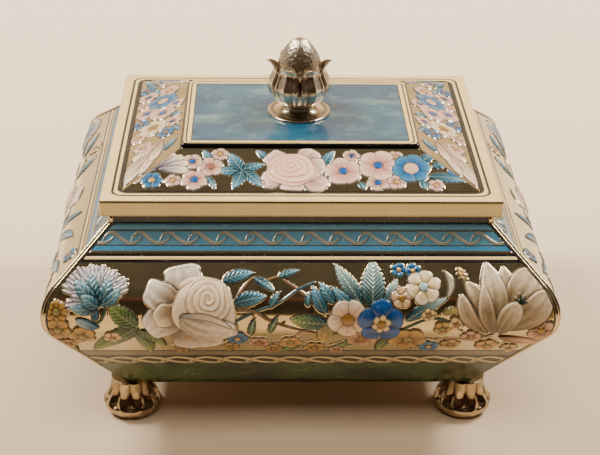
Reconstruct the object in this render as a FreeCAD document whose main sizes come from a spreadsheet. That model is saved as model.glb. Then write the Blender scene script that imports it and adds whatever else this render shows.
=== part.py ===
"""A footed casket tin with a hinged lid, made of thin tinplate sheet.

Four pressed panels meet at mitred corners with standing seams inside. They widen from the base to
a rounded belly, then slope in to an upright neck. A pressed lid turns on a wire pin at the back.
Four cast feet and a three-piece finial are held by screws.

The origin is on the floor under the middle of the base: X to the right, Y to the back, Z up.
"""
import FreeCAD
import Part
import Sketcher
import math
import os

# Driving dimensions, in millimetres. "reach" is how far a point stands out beyond the lid's edge.
DIMENSIONS = {
    "gauge": 0.35,              # thickness of the tinplate
    "lid_width": 150.0,         # outside of the lid's skirt, along X
    "lid_depth": 122.0,         # outside of the lid's skirt, along Y
    "lid_rim_height": 102.0,    # top of the lid's flat rim above the floor
    "lid_skirt": 6.5,           # height of the lid's upright skirt
    "rim_width": 7.3,           # flat rim, from the lid's edge to the foot of its slope
    "slope_inset": 28.5,        # top of the lid's slope, in from the lid's edge
    "slope_height": 110.0,      # top of the lid's slope above the floor
    "table_inset": 29.6,        # edge of the lid's raised table, in from the lid's edge
    "table_height": 111.4,      # top of the raised table above the floor
    "neck_inset": 2.7,          # outside of the neck, in from the lid's edge
    "neck_top": 101.3,          # top edge of the neck
    "neck_foot": 91.5,          # where the neck turns out into the shoulder
    "belly_reach": 26.3,        # where the two slopes of the side would cross
    "belly_height": 66.0,       # height of that crossing
    "belly_radius": 16.0,       # rounding of the belly
    "base_inset": 6.2,          # lower edge of the side, in from the lid's edge
    "base_height": 16.5,        # lower edge of the side above the floor
    "base_flange": 3.0,         # width of the side's turned-in lower flange
    "seam_width": 3.5,          # depth of the standing seams inside the corners
    "seam_top": 86.0,           # upper end of the standing seams
    "seam_bottom": 22.0,        # lower end of the standing seams
    "mouth_thickness": 0.5,     # strip of the frame that stiffens the neck
    "mouth_lip": 1.6,           # width of that frame's turned-in top lip
    "plate_gap": 0.3,           # play round the base plate's pan
    "foot_x": 67.9,             # middle of a foot from the middle of the tin
    "foot_y": 48.3,
    "foot_screw_x": 62.2,       # a foot's screw stands nearer the middle, clear of the side
    "foot_screw_y": 46.3,
    "foot_radius": 12.0,        # widest part of a foot
    "foot_flutes": 8,           # hollows round a foot
    "flute_radius": 3.2,        # rounding of a hollow
    "screw_radius": 1.5,        # shank of every screw
    "head_radius": 2.5,         # head of every screw
    "head_height": 1.6,
    "washer_radius": 2.8,
    "washer_height": 0.5,
    "screw_length": 8.0,
    "finial_screw_length": 16.0,
    "finial_radius": 12.8,      # foot of the finial
    "waist_radius": 6.6,        # narrowest part of the finial
    "waist_height": 3.8,        # top of the waist above the lid's table
    "cup_radius": 12.2,         # widest part of the leaf cup
    "cup_height": 18.0,         # height of the leaf cup
    "cup_leaves": 6,
    "bud_radius": 8.2,          # widest part of the bud
    "finial_height": 31.8,      # top of the bud above the lid's table
    "leaf_thickness": 0.5,      # sheet of both hinge leaves
    "hinge_width": 90.0,
    "hinge_knuckles": 5,
    "knuckle_gap": 0.3,         # side play between two knuckles
    "knuckle_radius": 1.6,
    "pin_radius": 1.05,
    "pin_play": 0.05,           # radial clearance of the pin in its knuckles
    "hinge_y": 62.6,            # hinge axis
    "hinge_z": 93.7,
    "rivet_radius": 1.0,
    "rivet_head": 1.7,          # radius of a rivet's head
    "rivet_head_height": 0.4,
    "rivet_pitch": 36.0,
}
ROOT_TWO = math.sqrt(2)

doc = FreeCAD.newDocument("casket_tin")
sheet = doc.addObject("Spreadsheet::Sheet", "Sizes")
made = []


class Size:
    """A length as a number, together with the formula on the sheet that gives it."""

    def __init__(self, number, formula):
        self.number = float(number)
        self.formula = formula

    def join(self, sign, other, number):
        return Size(number, "(%s %s %s)" % (self.formula, sign, other.formula))

    def __add__(self, other):
        other = as_size(other)
        return self.join("+", other, self.number + other.number)

    def __sub__(self, other):
        other = as_size(other)
        return self.join("-", other, self.number - other.number)

    def __mul__(self, other):
        other = as_size(other)
        return self.join("*", other, self.number * other.number)

    def __truediv__(self, other):
        other = as_size(other)
        return self.join("/", other, self.number / other.number)

    def __neg__(self):
        return Size(-self.number, "(0 - %s)" % self.formula)


def as_size(value):
    return value if isinstance(value, Size) else Size(value, "%.9g" % value)


def fill_sheet():
    """Writes every driving dimension to its own cell and returns them by name."""
    sizes = {}
    for row, (name, value) in enumerate(DIMENSIONS.items(), start=1):
        sheet.set("A%d" % row, name)
        sheet.set("B%d" % row, str(value))
        sheet.setAlias("B%d" % row, name)
        sizes[name] = Size(value, "Sizes." + name)
    return sizes


def bind(feature, name, size):
    """Sets a feature's size and ties it to the sheet."""
    size = as_size(size)
    setattr(feature, name, size.number)
    feature.setExpression(name, size.formula)


def new_body(label):
    body = doc.addObject("PartDesign::Body", label)
    body.Label = label
    body.AllowCompound = True
    made.append(body)
    return body


def place(body, x=0, y=0, z=0, turn=0, axis=(0, 0, 1)):
    """Puts a finished body in the tin: turned by degrees about an axis, then moved by bound sizes."""
    turned = FreeCAD.Rotation(FreeCAD.Vector(*axis), turn)
    body.Placement = FreeCAD.Placement(FreeCAD.Vector(), turned)
    for side, size in (("x", x), ("y", y), ("z", z)):
        size = as_size(size)
        body.setExpression(".Placement.Base." + side, size.formula)


def new_sketch(body, name, plane, lift=0):
    """An empty sketch on one of the body's own planes, lifted along that plane's normal."""
    role = [f for f in body.Origin.OriginFeatures if f.Role == plane][0]
    sketch = body.newObject("Sketcher::SketchObject", body.Name + "_" + name)
    sketch.AttachmentSupport = [(role, "")]
    sketch.MapMode = "FlatFace"
    lift = as_size(lift)
    sketch.AttachmentOffset = FreeCAD.Placement(FreeCAD.Vector(0, 0, lift.number), FreeCAD.Rotation())
    sketch.setExpression(".AttachmentOffset.Base.z", lift.formula)
    return sketch


def fix(sketch, kind, *where_and_size):
    """Adds a dimension to a sketch and ties it to the sheet."""
    size = as_size(where_and_size[-1])
    where = where_and_size[:-1]
    index = sketch.addConstraint(Sketcher.Constraint(kind, *where, size.number))
    sketch.setExpression("Constraints[%d]" % index, size.formula)


def fix_point(sketch, edge, end, point):
    """Holds an end of an edge at a point measured from the sketch's origin."""
    fix(sketch, "DistanceX", -1, 1, edge, end, point[0])
    fix(sketch, "DistanceY", -1, 1, edge, end, point[1])


def number_point(point):
    return FreeCAD.Vector(as_size(point[0]).number, as_size(point[1]).number, 0)


def arc_between(start, end, radius):
    """An arc from start to end, anticlockwise if radius is positive, and where its own start lies."""
    a, b = number_point(start), number_point(end)
    chord = b - a
    half = chord.Length / 2
    rise = math.sqrt(max(radius * radius - half * half, 0.0))
    side = FreeCAD.Vector(-chord.y, chord.x, 0).normalize()
    centre = (a + b) * 0.5 + side * math.copysign(rise, radius)
    first, last = (a, b) if radius > 0 else (b, a)
    angles = [math.atan2(p.y - centre.y, p.x - centre.x) for p in (first, last)]
    circle = Part.Circle(centre, FreeCAD.Vector(0, 0, 1), abs(radius))
    return Part.ArcOfCircle(circle, angles[0], angles[1]), (1 if radius > 0 else 2)


def draw_outline(sketch, corners):
    """Draws a closed outline. A corner is (x, y), or (x, y, radius) where an arc leads to it."""
    ends = []
    for index, corner in enumerate(corners):
        before = corners[index - 1]
        if len(corner) == 3:
            radius = as_size(corner[2])
            shape, start = arc_between(before, corner, radius.number)
            edge = sketch.addGeometry(shape, False)
            fix(sketch, "Radius", edge, Size(abs(radius.number), "abs(%s)" % radius.formula))
        else:
            line = Part.LineSegment(number_point(before), number_point(corner))
            edge, start = sketch.addGeometry(line, False), 1
        ends.append((edge, start))
    for index, corner in enumerate(corners):
        edge, start = ends[index]
        following, next_start = ends[(index + 1) % len(ends)]
        sketch.addConstraint(Sketcher.Constraint("Coincident", edge, 3 - start, following, next_start))
        fix_point(sketch, edge, 3 - start, corner)


def draw_rectangle(sketch, half_x, half_y):
    draw_outline(sketch, [(-half_x, -half_y), (half_x, -half_y), (half_x, half_y), (-half_x, half_y)])


def draw_circle(sketch, x, y, radius):
    centre = number_point((x, y))
    circle = Part.Circle(centre, FreeCAD.Vector(0, 0, 1), as_size(radius).number)
    edge = sketch.addGeometry(circle, False)
    fix_point(sketch, edge, 3, (x, y))
    fix(sketch, "Radius", edge, radius)


def pad(body, sketch, length, middle=False, reverse=False):
    feature = body.newObject("PartDesign::Pad", sketch.Name + "_pad")
    feature.Profile = sketch
    bind(feature, "Length", length)
    feature.Midplane = middle
    feature.Reversed = reverse
    return feature


def pocket(body, sketch, length, middle=False, upward=True):
    feature = body.newObject("PartDesign::Pocket", sketch.Name + "_pocket")
    feature.Profile = sketch
    bind(feature, "Length", length)
    feature.Midplane = middle
    feature.Reversed = upward
    return feature


def pattern(body, feature, count):
    """Repeats a feature evenly round the body's own Z axis."""
    axis = [f for f in body.Origin.OriginFeatures if f.Role == "Z_Axis"][0]
    repeat = body.newObject("PartDesign::PolarPattern", feature.Name + "_round")
    repeat.Originals = [feature]
    repeat.Axis = (axis, [""])
    repeat.Angle = 360
    repeat.Occurrences = int(count.number)
    repeat.setExpression("Occurrences", count.formula)
    body.Tip = repeat
    return repeat


def turned(label, corners):
    """A body turned about its own Z axis from an outline of (radius, height) corners."""
    body = new_body(label)
    sketch = new_sketch(body, "profile", "XZ_Plane")
    draw_outline(sketch, corners)
    revolve = body.newObject("PartDesign::Revolution", label + "_turn")
    revolve.Profile = sketch
    revolve.ReferenceAxis = (sketch, ["V_Axis"])
    revolve.Angle = 360
    return body


def side_band(body, name, half, thickness, top, bottom):
    """The side's section in the YZ plane: slope, belly and slope, with a thickness, between heights."""
    sketch = new_sketch(body, name, "YZ_Plane")
    neck = (half - D["neck_inset"], D["neck_foot"])
    crossing = (half + D["belly_reach"], D["belly_height"])
    base = (half - D["base_inset"], D["base_height"])
    up = (number_point(neck) - number_point(crossing)).normalize()
    down = (number_point(base) - number_point(crossing)).normalize()
    half_angle = up.getAngle(down) / 2
    inward = (up + down).normalize()
    centre = number_point(crossing) + inward * (D["belly_radius"].number / math.sin(half_angle))

    marks = [sketch.addGeometry(Part.Point(number_point(p)), True) for p in (neck, crossing, base)]
    for mark, point in zip(marks, (neck, crossing, base)):
        fix_point(sketch, mark, 1, point)

    chains = []
    for depth in (as_size(0), thickness):
        radius = D["belly_radius"] - depth
        out_up = FreeCAD.Vector(-up.y, up.x, 0)
        out_down = FreeCAD.Vector(down.y, -down.x, 0)
        out_up = out_up if out_up.dot(inward) < 0 else out_up * -1
        out_down = out_down if out_down.dot(inward) < 0 else out_down * -1
        upper, lower = centre + out_up * radius.number, centre + out_down * radius.number
        run_up = (top.number - upper.y) / up.y
        run_down = (bottom.number - lower.y) / down.y
        slope = sketch.addGeometry(Part.LineSegment(upper + up * run_up, upper), False)
        circle = Part.Circle(centre, FreeCAD.Vector(0, 0, 1), radius.number)
        angles = [math.atan2(p.y - centre.y, p.x - centre.x) for p in (lower, upper)]
        belly = sketch.addGeometry(Part.ArcOfCircle(circle, angles[0], angles[1]), False)
        tuck = sketch.addGeometry(Part.LineSegment(lower, lower + down * run_down), False)
        sketch.addConstraint(Sketcher.Constraint("Tangent", slope, 2, belly, 2))
        sketch.addConstraint(Sketcher.Constraint("Tangent", tuck, 1, belly, 1))
        fix(sketch, "Radius", belly, radius)
        fix(sketch, "DistanceY", -1, 1, slope, 1, top)
        fix(sketch, "DistanceY", -1, 1, tuck, 2, bottom)
        chains.append((slope, belly, tuck))

    outer, inner = chains
    sketch.addConstraint(Sketcher.Constraint("PointOnObject", marks[0], 1, outer[0]))
    sketch.addConstraint(Sketcher.Constraint("PointOnObject", marks[1], 1, outer[0]))
    sketch.addConstraint(Sketcher.Constraint("PointOnObject", marks[1], 1, outer[2]))
    sketch.addConstraint(Sketcher.Constraint("PointOnObject", marks[2], 1, outer[2]))
    sketch.addConstraint(Sketcher.Constraint("Parallel", outer[0], inner[0]))
    sketch.addConstraint(Sketcher.Constraint("Parallel", outer[2], inner[2]))
    sketch.addConstraint(Sketcher.Constraint("Coincident", outer[1], 3, inner[1], 3))
    for edge, end in ((0, 1), (2, 2)):
        points = [sketch.getPoint(chain[edge], end) for chain in chains]
        cap = sketch.addGeometry(Part.LineSegment(points[0], points[1]), False)
        sketch.addConstraint(Sketcher.Constraint("Coincident", cap, 1, outer[edge], end))
        sketch.addConstraint(Sketcher.Constraint("Coincident", cap, 2, inner[edge], end))
    return sketch


def strip(body, name, low, high):
    """A rectangle in the body's YZ plane, from one (y, z) corner to the other."""
    sketch = new_sketch(body, name, "YZ_Plane")
    draw_outline(sketch, [low, (high[0], low[1]), high, (low[0], high[1])])
    return sketch


def make_panel(label, half, other_half, turn):
    """One side of the tin, made facing +Y with its corners mitred at 45 degrees, then turned."""
    body = new_body(label)
    reach = D["belly_reach"]
    lower_edge = half - D["base_inset"]
    neck_face = half - D["neck_inset"]
    full = (other_half + reach) * 2
    inner_y = half - D["base_inset"] - D["base_flange"] * 2
    outer_y = half + reach
    past = outer_y * 3
    mitre = other_half - half

    seam = side_band(body, "seam", half, D["seam_width"], D["seam_top"], D["seam_bottom"])
    pad(body, seam, full, middle=True)
    between = new_sketch(body, "between_seams", "XY_Plane")
    near, far = mitre + inner_y - D["gauge"] * ROOT_TWO, mitre + outer_y - D["gauge"] * ROOT_TWO
    draw_outline(between, [(-near, inner_y), (near, inner_y), (far, outer_y), (-far, outer_y)])
    pocket(body, between, D["lid_rim_height"])

    pad(body, side_band(body, "skin", half, D["gauge"], D["neck_foot"], D["base_height"]), full, True)
    neck = strip(body, "neck", (neck_face - D["gauge"], D["neck_foot"]), (neck_face, D["neck_top"]))
    pad(body, neck, full, True)
    flange_top = D["base_height"] + D["gauge"]
    flange = strip(body, "flange", (lower_edge - D["base_flange"], D["base_height"]),
                   (lower_edge, flange_top))
    pad(body, flange, full, True)

    for side, name in ((1, "right"), (-1, "left")):
        ends = new_sketch(body, name + "_mitre", "XY_Plane")
        corners = [((mitre + inner_y) * side, inner_y), (past * side, inner_y),
                   (past * side, outer_y), ((mitre + outer_y) * side, outer_y)]
        draw_outline(ends, corners)
        pocket(body, ends, D["lid_rim_height"])
    place(body, turn=turn)
    return body


def rivet_places():
    """Offsets of the three rivets along each hinge leaf."""
    return [D["rivet_pitch"] * step for step in (-1, 0, 1)]


def drill_rivets(body, name, height, depth_from, depth):
    """Three rivet holes through an upright sheet at the back, bored along +Y."""
    holes = new_sketch(body, name, "XZ_Plane", -depth_from)
    for x in rivet_places():
        draw_circle(holes, x, height, D["rivet_radius"])
    pocket(body, holes, depth, upward=False)


def make_base_plate():
    """A plate whose rim lies on the sides' lower flanges and whose pan drops level with them."""
    body = new_body("base_plate")
    floor = D["base_height"]
    half_x = D["lid_width"] / 2 - D["base_inset"]
    half_y = D["lid_depth"] / 2 - D["base_inset"]
    pan_inset = D["base_flange"] + D["plate_gap"]

    rim = new_sketch(body, "rim", "XY_Plane", floor + D["gauge"])
    draw_rectangle(rim, half_x - D["gauge"] * 2, half_y - D["gauge"] * 2)
    pad(body, rim, D["gauge"])
    pan = new_sketch(body, "pan", "XY_Plane", floor)
    draw_rectangle(pan, half_x - pan_inset, half_y - pan_inset)
    pad(body, pan, D["gauge"] * 2)
    hollow = new_sketch(body, "hollow", "XY_Plane", floor + D["gauge"])
    draw_rectangle(hollow, half_x - pan_inset - D["gauge"], half_y - pan_inset - D["gauge"])
    pocket(body, hollow, D["gauge"] * 2)
    holes = new_sketch(body, "holes", "XY_Plane", floor - D["gauge"])
    for side_x in (-1, 1):
        for side_y in (-1, 1):
            draw_circle(holes, D["foot_screw_x"] * side_x, D["foot_screw_y"] * side_y, D["screw_radius"])
    pocket(body, holes, D["gauge"] * 4)


def make_mouth_frame():
    """A strip bent round inside the neck, with a lip turned in at the top."""
    body = new_body("mouth_frame")
    clear = D["neck_inset"] + D["gauge"]
    half_x, half_y = D["lid_width"] / 2 - clear, D["lid_depth"] / 2 - clear
    wall, lip = D["mouth_thickness"], D["mouth_lip"]

    outside = new_sketch(body, "outside", "XY_Plane", D["neck_foot"])
    draw_rectangle(outside, half_x, half_y)
    pad(body, outside, D["neck_top"] - D["neck_foot"])
    below = new_sketch(body, "below", "XY_Plane", D["neck_foot"])
    draw_rectangle(below, half_x - wall, half_y - wall)
    pocket(body, below, D["neck_top"] - D["neck_foot"] - wall)
    mouth = new_sketch(body, "mouth", "XY_Plane", D["neck_foot"])
    draw_rectangle(mouth, half_x - lip, half_y - lip)
    pocket(body, mouth, D["lid_skirt"] * 2)
    drill_rivets(body, "rivet_holes", BODY_RIVET_HEIGHT, half_y - wall * 2, wall * 3)


def make_lid_top():
    """The lid's one pressing: upright skirt, flat rim, slope and raised table, all one gauge thick."""
    body = new_body("lid_top")
    half_x, half_y = D["lid_width"] / 2, D["lid_depth"] / 2
    gauge = D["gauge"]
    skirt_bottom = D["lid_rim_height"] - D["lid_skirt"]

    skirt = new_sketch(body, "skirt", "XY_Plane", skirt_bottom)
    draw_rectangle(skirt, half_x, half_y)
    pad(body, skirt, D["lid_skirt"])
    for kind, drop in (("PartDesign::AdditiveLoft", as_size(0)), ("PartDesign::SubtractiveLoft", gauge)):
        if kind == "PartDesign::SubtractiveLoft":
            table = new_sketch(body, "table", "XY_Plane", D["slope_height"] - gauge)
            draw_rectangle(table, half_x - D["table_inset"], half_y - D["table_inset"])
            pad(body, table, D["table_height"] - D["slope_height"] + gauge)
            inside = new_sketch(body, "inside", "XY_Plane", skirt_bottom)
            draw_rectangle(inside, half_x - gauge, half_y - gauge)
            pocket(body, inside, D["lid_skirt"] - gauge)
        name = "outer" if drop.number == 0 else "inner"
        foot = new_sketch(body, name + "_slope_foot", "XY_Plane", D["lid_rim_height"] - drop)
        draw_rectangle(foot, half_x - D["rim_width"], half_y - D["rim_width"])
        head = new_sketch(body, name + "_slope_head", "XY_Plane", D["slope_height"] - drop)
        draw_rectangle(head, half_x - D["slope_inset"], half_y - D["slope_inset"])
        loft = body.newObject(kind, "lid_%s_slope" % name)
        loft.Profile = foot
        loft.Sections = [head]
        loft.Ruled = True
    under = new_sketch(body, "under_table", "XY_Plane", D["slope_height"] - gauge * 2)
    draw_rectangle(under, half_x - D["table_inset"] - gauge, half_y - D["table_inset"] - gauge)
    pocket(body, under, D["table_height"] - D["slope_height"] + gauge)
    hole = new_sketch(body, "screw_hole", "XY_Plane", D["slope_height"] - gauge)
    draw_circle(hole, 0, 0, D["screw_radius"])
    pocket(body, hole, D["table_height"])
    drill_rivets(body, "rivet_holes", LID_RIVET_HEIGHT, half_y - gauge * 2, gauge * 4)


def knuckle_spans():
    """The (start, end) of each knuckle along the hinge, the body's knuckles first and last."""
    pitch = D["hinge_width"] / D["hinge_knuckles"]
    spans = []
    for index in range(int(D["hinge_knuckles"].number)):
        low = pitch * index - D["hinge_width"] / 2 + D["knuckle_gap"] / 2
        spans.append((low, low + pitch - D["knuckle_gap"]))
    return spans


def add_knuckles(body, spans, strap_low, strap_high):
    """Rolled knuckles on the hinge axis, each with its strap, bored for the pin."""
    for index, (low, high) in enumerate(spans):
        roll = new_sketch(body, "roll%d" % index, "YZ_Plane", low)
        draw_circle(roll, D["hinge_y"], D["hinge_z"], D["knuckle_radius"])
        pad(body, roll, high - low)
        strap = new_sketch(body, "strap%d" % index, "YZ_Plane", low)
        draw_outline(strap, [strap_low, (strap_high[0], strap_low[1]), strap_high,
                             (strap_low[0], strap_high[1])])
        pad(body, strap, high - low)
    bore = new_sketch(body, "bore", "YZ_Plane")
    draw_circle(bore, D["hinge_y"], D["hinge_z"], D["pin_radius"] + D["pin_play"])
    pocket(body, bore, D["hinge_width"] * 2, middle=True)


def make_hinge_body_leaf():
    """The leaf on the outside of the neck, whose straps run back under the lid's skirt."""
    body = new_body("hinge_body_leaf")
    neck_face = D["lid_depth"] / 2 - D["neck_inset"]
    sheet_top = D["hinge_z"] - D["knuckle_radius"] + D["leaf_thickness"]
    leaf = strip(body, "leaf", (neck_face, D["neck_foot"] + D["gauge"]),
                 (neck_face + D["leaf_thickness"], D["neck_top"] - D["knuckle_radius"]))
    pad(body, leaf, D["hinge_width"], middle=True)
    drill_rivets(body, "rivet_holes", BODY_RIVET_HEIGHT, neck_face - D["gauge"], D["leaf_thickness"] * 3)
    add_knuckles(body, knuckle_spans()[0::2],
                 (neck_face, sheet_top - D["leaf_thickness"]), (D["hinge_y"], sheet_top))


def make_hinge_lid_leaf():
    """The leaf on the inside of the lid's skirt, whose straps run back under the skirt's edge."""
    body = new_body("hinge_lid_leaf")
    skirt_face = D["lid_depth"] / 2 - D["gauge"]
    sheet_low = D["hinge_z"] + D["knuckle_radius"] - D["leaf_thickness"]
    leaf = strip(body, "leaf", (skirt_face - D["leaf_thickness"], sheet_low),
                 (skirt_face, D["lid_rim_height"] - D["gauge"] * 2))
    pad(body, leaf, D["hinge_width"], middle=True)
    drill_rivets(body, "rivet_holes", LID_RIVET_HEIGHT, skirt_face - D["leaf_thickness"] * 2,
                 D["leaf_thickness"] * 3)
    add_knuckles(body, knuckle_spans()[1::2], (skirt_face - D["leaf_thickness"], sheet_low),
                 (D["hinge_y"], sheet_low + D["leaf_thickness"]))


def make_hinge_pin():
    """A straight wire, with a headed end past each end of the hinge."""
    head, end = D["knuckle_radius"] - D["pin_play"] * 2, D["hinge_width"] / 2
    long_end = end + D["gauge"] * 3
    pin = turned("hinge_pin", [
        (0, -long_end), (head, -long_end), (head, -end), (D["pin_radius"], -end),
        (D["pin_radius"], end), (head, end), (head, long_end), (0, long_end)])
    place(pin, y=D["hinge_y"], z=D["hinge_z"], turn=90, axis=(0, 1, 0))


def make_rivets(label, height, inside_y, outside_y):
    """Three rivets along Y, each with a shallow domed head at both ends."""
    grip = outside_y - inside_y
    for index, x in enumerate(rivet_places()):
        rivet = turned("%s_%d" % (label, index + 1), rivet_section(grip))
        place(rivet, x=x, y=inside_y, z=height, turn=-90, axis=(1, 0, 0))


def rivet_section(grip):
    shank, head, dome = D["rivet_radius"], D["rivet_head"], D["rivet_head_height"]
    rounding = (head * head + dome * dome) / (dome * 2)
    return [(0, -dome), (head, 0, rounding), (shank, 0), (shank, grip), (head, grip),
            (0, grip + dome, rounding)]


def make_screw(label, length):
    """A pan-head screw that points up, its head's face at its own origin, with a slot below."""
    head, tall, shank = D["head_radius"], D["head_height"], D["screw_radius"]
    edge = tall * 0.75
    point = shank * 0.7
    body = turned(label, [(0, -tall), (head - edge, -tall), (head, -tall + edge, edge), (head, 0),
                          (shank, 0), (shank, length - shank + point), (point, length), (0, length)])
    slot = new_sketch(body, "slot", "XY_Plane", -tall)
    draw_rectangle(slot, head * 2, head * 0.16)
    pocket(body, slot, tall * 0.5)
    return body


def make_washer(label):
    """A flat ring whose upper face is at its own origin."""
    outer, bore, tall = D["washer_radius"], D["screw_radius"], D["washer_height"]
    return turned(label, [(bore, -tall), (outer, -tall), (outer, 0), (bore, 0)])


def make_foot(label, side_x, side_y):
    """A squat bun, widest at a sharp edge low down, fluted above it and tapped from above for its screw."""
    wide, tall = D["foot_radius"], D["base_height"]
    edge = tall * 0.28
    body = turned(label, [
        (0, 0), (wide * 0.76, 0), (wide, edge, wide * 0.60), (wide * 0.74, tall * 0.72, wide),
        (wide * 0.76, tall), (0, tall)])
    flute = new_sketch(body, "flute", "XY_Plane", edge + D["gauge"])
    draw_circle(flute, wide + D["flute_radius"] * 0.4, 0, D["flute_radius"])
    cut = pocket(body, flute, tall * 0.5)
    pattern(body, cut, D["foot_flutes"])
    hole = new_sketch(body, "screw_hole", "XY_Plane", tall)
    draw_circle(hole, (D["foot_screw_x"] - D["foot_x"]) * side_x,
                (D["foot_screw_y"] - D["foot_y"]) * side_y, D["screw_radius"])
    body.Tip = pocket(body, hole, D["screw_length"], upward=False)
    place(body, x=D["foot_x"] * side_x, y=D["foot_y"] * side_y)


def make_foot_fixings(name, side_x, side_y):
    """The washer on the base plate's pan and the screw that passes down through it."""
    pan = D["base_height"] + D["gauge"]
    x, y = D["foot_screw_x"] * side_x, D["foot_screw_y"] * side_y
    place(make_washer("foot_washer_" + name), x=x, y=y, z=pan, turn=180, axis=(1, 0, 0))
    screw = make_screw("foot_screw_" + name, D["screw_length"])
    place(screw, x=x, y=y, z=pan + D["washer_height"], turn=180, axis=(1, 0, 0))


def make_finial():
    """Foot, leaf cup and bud of the finial, with the screw and washer that clamp them to the lid."""
    table, shank = D["table_height"], D["screw_radius"]
    wide, waist, neck = D["finial_radius"], D["waist_radius"], D["waist_height"]
    foot = turned("finial_foot", [
        (shank, 0), (wide - 0.6, 0), (wide, 1.0), (wide - 0.5, 1.2), (wide - 1.2, 0.8),
        (waist + 1.8, 1.6), (waist, neck * 0.6, -neck * 0.8), (waist + 0.9, neck, -neck * 0.9),
        (shank, neck)])
    place(foot, z=table)

    cup, tall, bud = D["cup_radius"], D["cup_height"], D["bud_radius"]
    seat = D["leaf_thickness"] * 3
    leaves = turned("finial_leaf_cup", [
        (shank, 0), (waist + 0.9, 0), (cup, tall * 0.45, cup), (cup - 0.6, tall * 0.8, cup),
        (cup + 0.4, tall), (cup - 0.7, tall), (bud + 0.9, tall * 0.7),
        (bud * 0.5, seat, -cup), (shank, seat)])
    notch = new_sketch(leaves, "notch", "XY_Plane", tall * 0.72)
    draw_circle(notch, cup + 1.6, 0, D["flute_radius"])
    pattern(leaves, pocket(leaves, notch, tall), D["cup_leaves"])
    place(leaves, z=table + neck)

    top = D["finial_height"] - neck - seat
    crown = bud * 0.78
    bud_body = turned("finial_bud", [
        (0, 0), (bud * 0.45, 0), (bud, top * 0.46, top * 0.62),
        (crown * 0.8, top - crown * 0.4, top * 0.7), (0, top, crown)])
    tapped = new_sketch(bud_body, "screw_hole", "XY_Plane")
    draw_circle(tapped, 0, 0, shank)
    pocket(bud_body, tapped, D["finial_screw_length"] - neck - seat)
    place(bud_body, z=table + neck + seat)

    under = table - D["gauge"]
    place(make_washer("finial_washer"), z=under)
    place(make_screw("finial_screw", D["finial_screw_length"]), z=under - D["washer_height"])


def make_everything():
    half_x, half_y = D["lid_width"] / 2, D["lid_depth"] / 2
    make_panel("front_panel", half_y, half_x, 180)
    rear = make_panel("rear_panel", half_y, half_x, 0)
    drill_rivets(rear, "rivet_holes", BODY_RIVET_HEIGHT, half_y - D["neck_inset"] * 2, D["neck_inset"] * 2)
    make_panel("left_panel", half_x, half_y, 90)
    make_panel("right_panel", half_x, half_y, 270)
    make_base_plate()
    make_mouth_frame()
    make_lid_top()
    make_hinge_body_leaf()
    make_hinge_lid_leaf()
    make_hinge_pin()
    neck_inside = half_y - D["neck_inset"] - D["gauge"] - D["mouth_thickness"]
    make_rivets("hinge_body_rivet", BODY_RIVET_HEIGHT, neck_inside,
                half_y - D["neck_inset"] + D["leaf_thickness"])
    make_rivets("hinge_lid_rivet", LID_RIVET_HEIGHT, half_y - D["gauge"] - D["leaf_thickness"], half_y)
    for name, side_x, side_y in (("front_left", -1, -1), ("front_right", 1, -1),
                                 ("rear_left", -1, 1), ("rear_right", 1, 1)):
        make_foot("foot_" + name, side_x, side_y)
        make_foot_fixings(name, side_x, side_y)
    make_finial()


def check_and_write():
    """Stops at any failed object or bad solid, then writes one STEP file for each body."""
    doc.recompute()
    failed = [o.Label for o in doc.Objects if "Invalid" in o.State or "Error" in o.State]
    if failed:
        raise RuntimeError("failed objects: " + ", ".join(failed))
    for body in made:
        if body.Shape.isNull() or not body.Shape.isValid():
            raise RuntimeError("bad shape: " + body.Label)
        if len(body.Shape.Solids) != 1:
            raise RuntimeError("%s has %d solids" % (body.Label, len(body.Shape.Solids)))
    os.makedirs("parts", exist_ok=True)
    for body in made:
        body.Shape.exportStep(os.path.join("parts", body.Label + ".step"))


D = fill_sheet()
doc.recompute()
BODY_RIVET_HEIGHT = D["neck_foot"] + D["leaf_thickness"] * 9
LID_RIVET_HEIGHT = D["lid_rim_height"] - D["leaf_thickness"] * 5
make_everything()
check_and_write()
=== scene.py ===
import math

import bpy
import numpy as np
from mathutils import Matrix, Vector


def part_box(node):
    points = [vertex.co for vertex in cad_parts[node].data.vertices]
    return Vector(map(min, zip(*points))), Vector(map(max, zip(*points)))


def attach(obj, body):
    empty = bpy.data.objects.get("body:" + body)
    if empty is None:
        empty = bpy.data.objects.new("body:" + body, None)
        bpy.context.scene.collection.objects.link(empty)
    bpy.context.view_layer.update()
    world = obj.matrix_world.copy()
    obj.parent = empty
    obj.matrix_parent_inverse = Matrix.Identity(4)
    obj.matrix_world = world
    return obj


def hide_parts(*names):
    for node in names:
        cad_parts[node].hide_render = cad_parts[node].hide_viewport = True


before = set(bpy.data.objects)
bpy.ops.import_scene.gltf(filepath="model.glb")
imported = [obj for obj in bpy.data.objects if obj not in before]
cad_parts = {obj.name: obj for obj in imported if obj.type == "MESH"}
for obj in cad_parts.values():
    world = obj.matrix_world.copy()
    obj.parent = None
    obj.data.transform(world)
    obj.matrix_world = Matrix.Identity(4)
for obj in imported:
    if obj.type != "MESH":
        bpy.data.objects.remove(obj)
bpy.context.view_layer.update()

MM = 0.001

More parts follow.
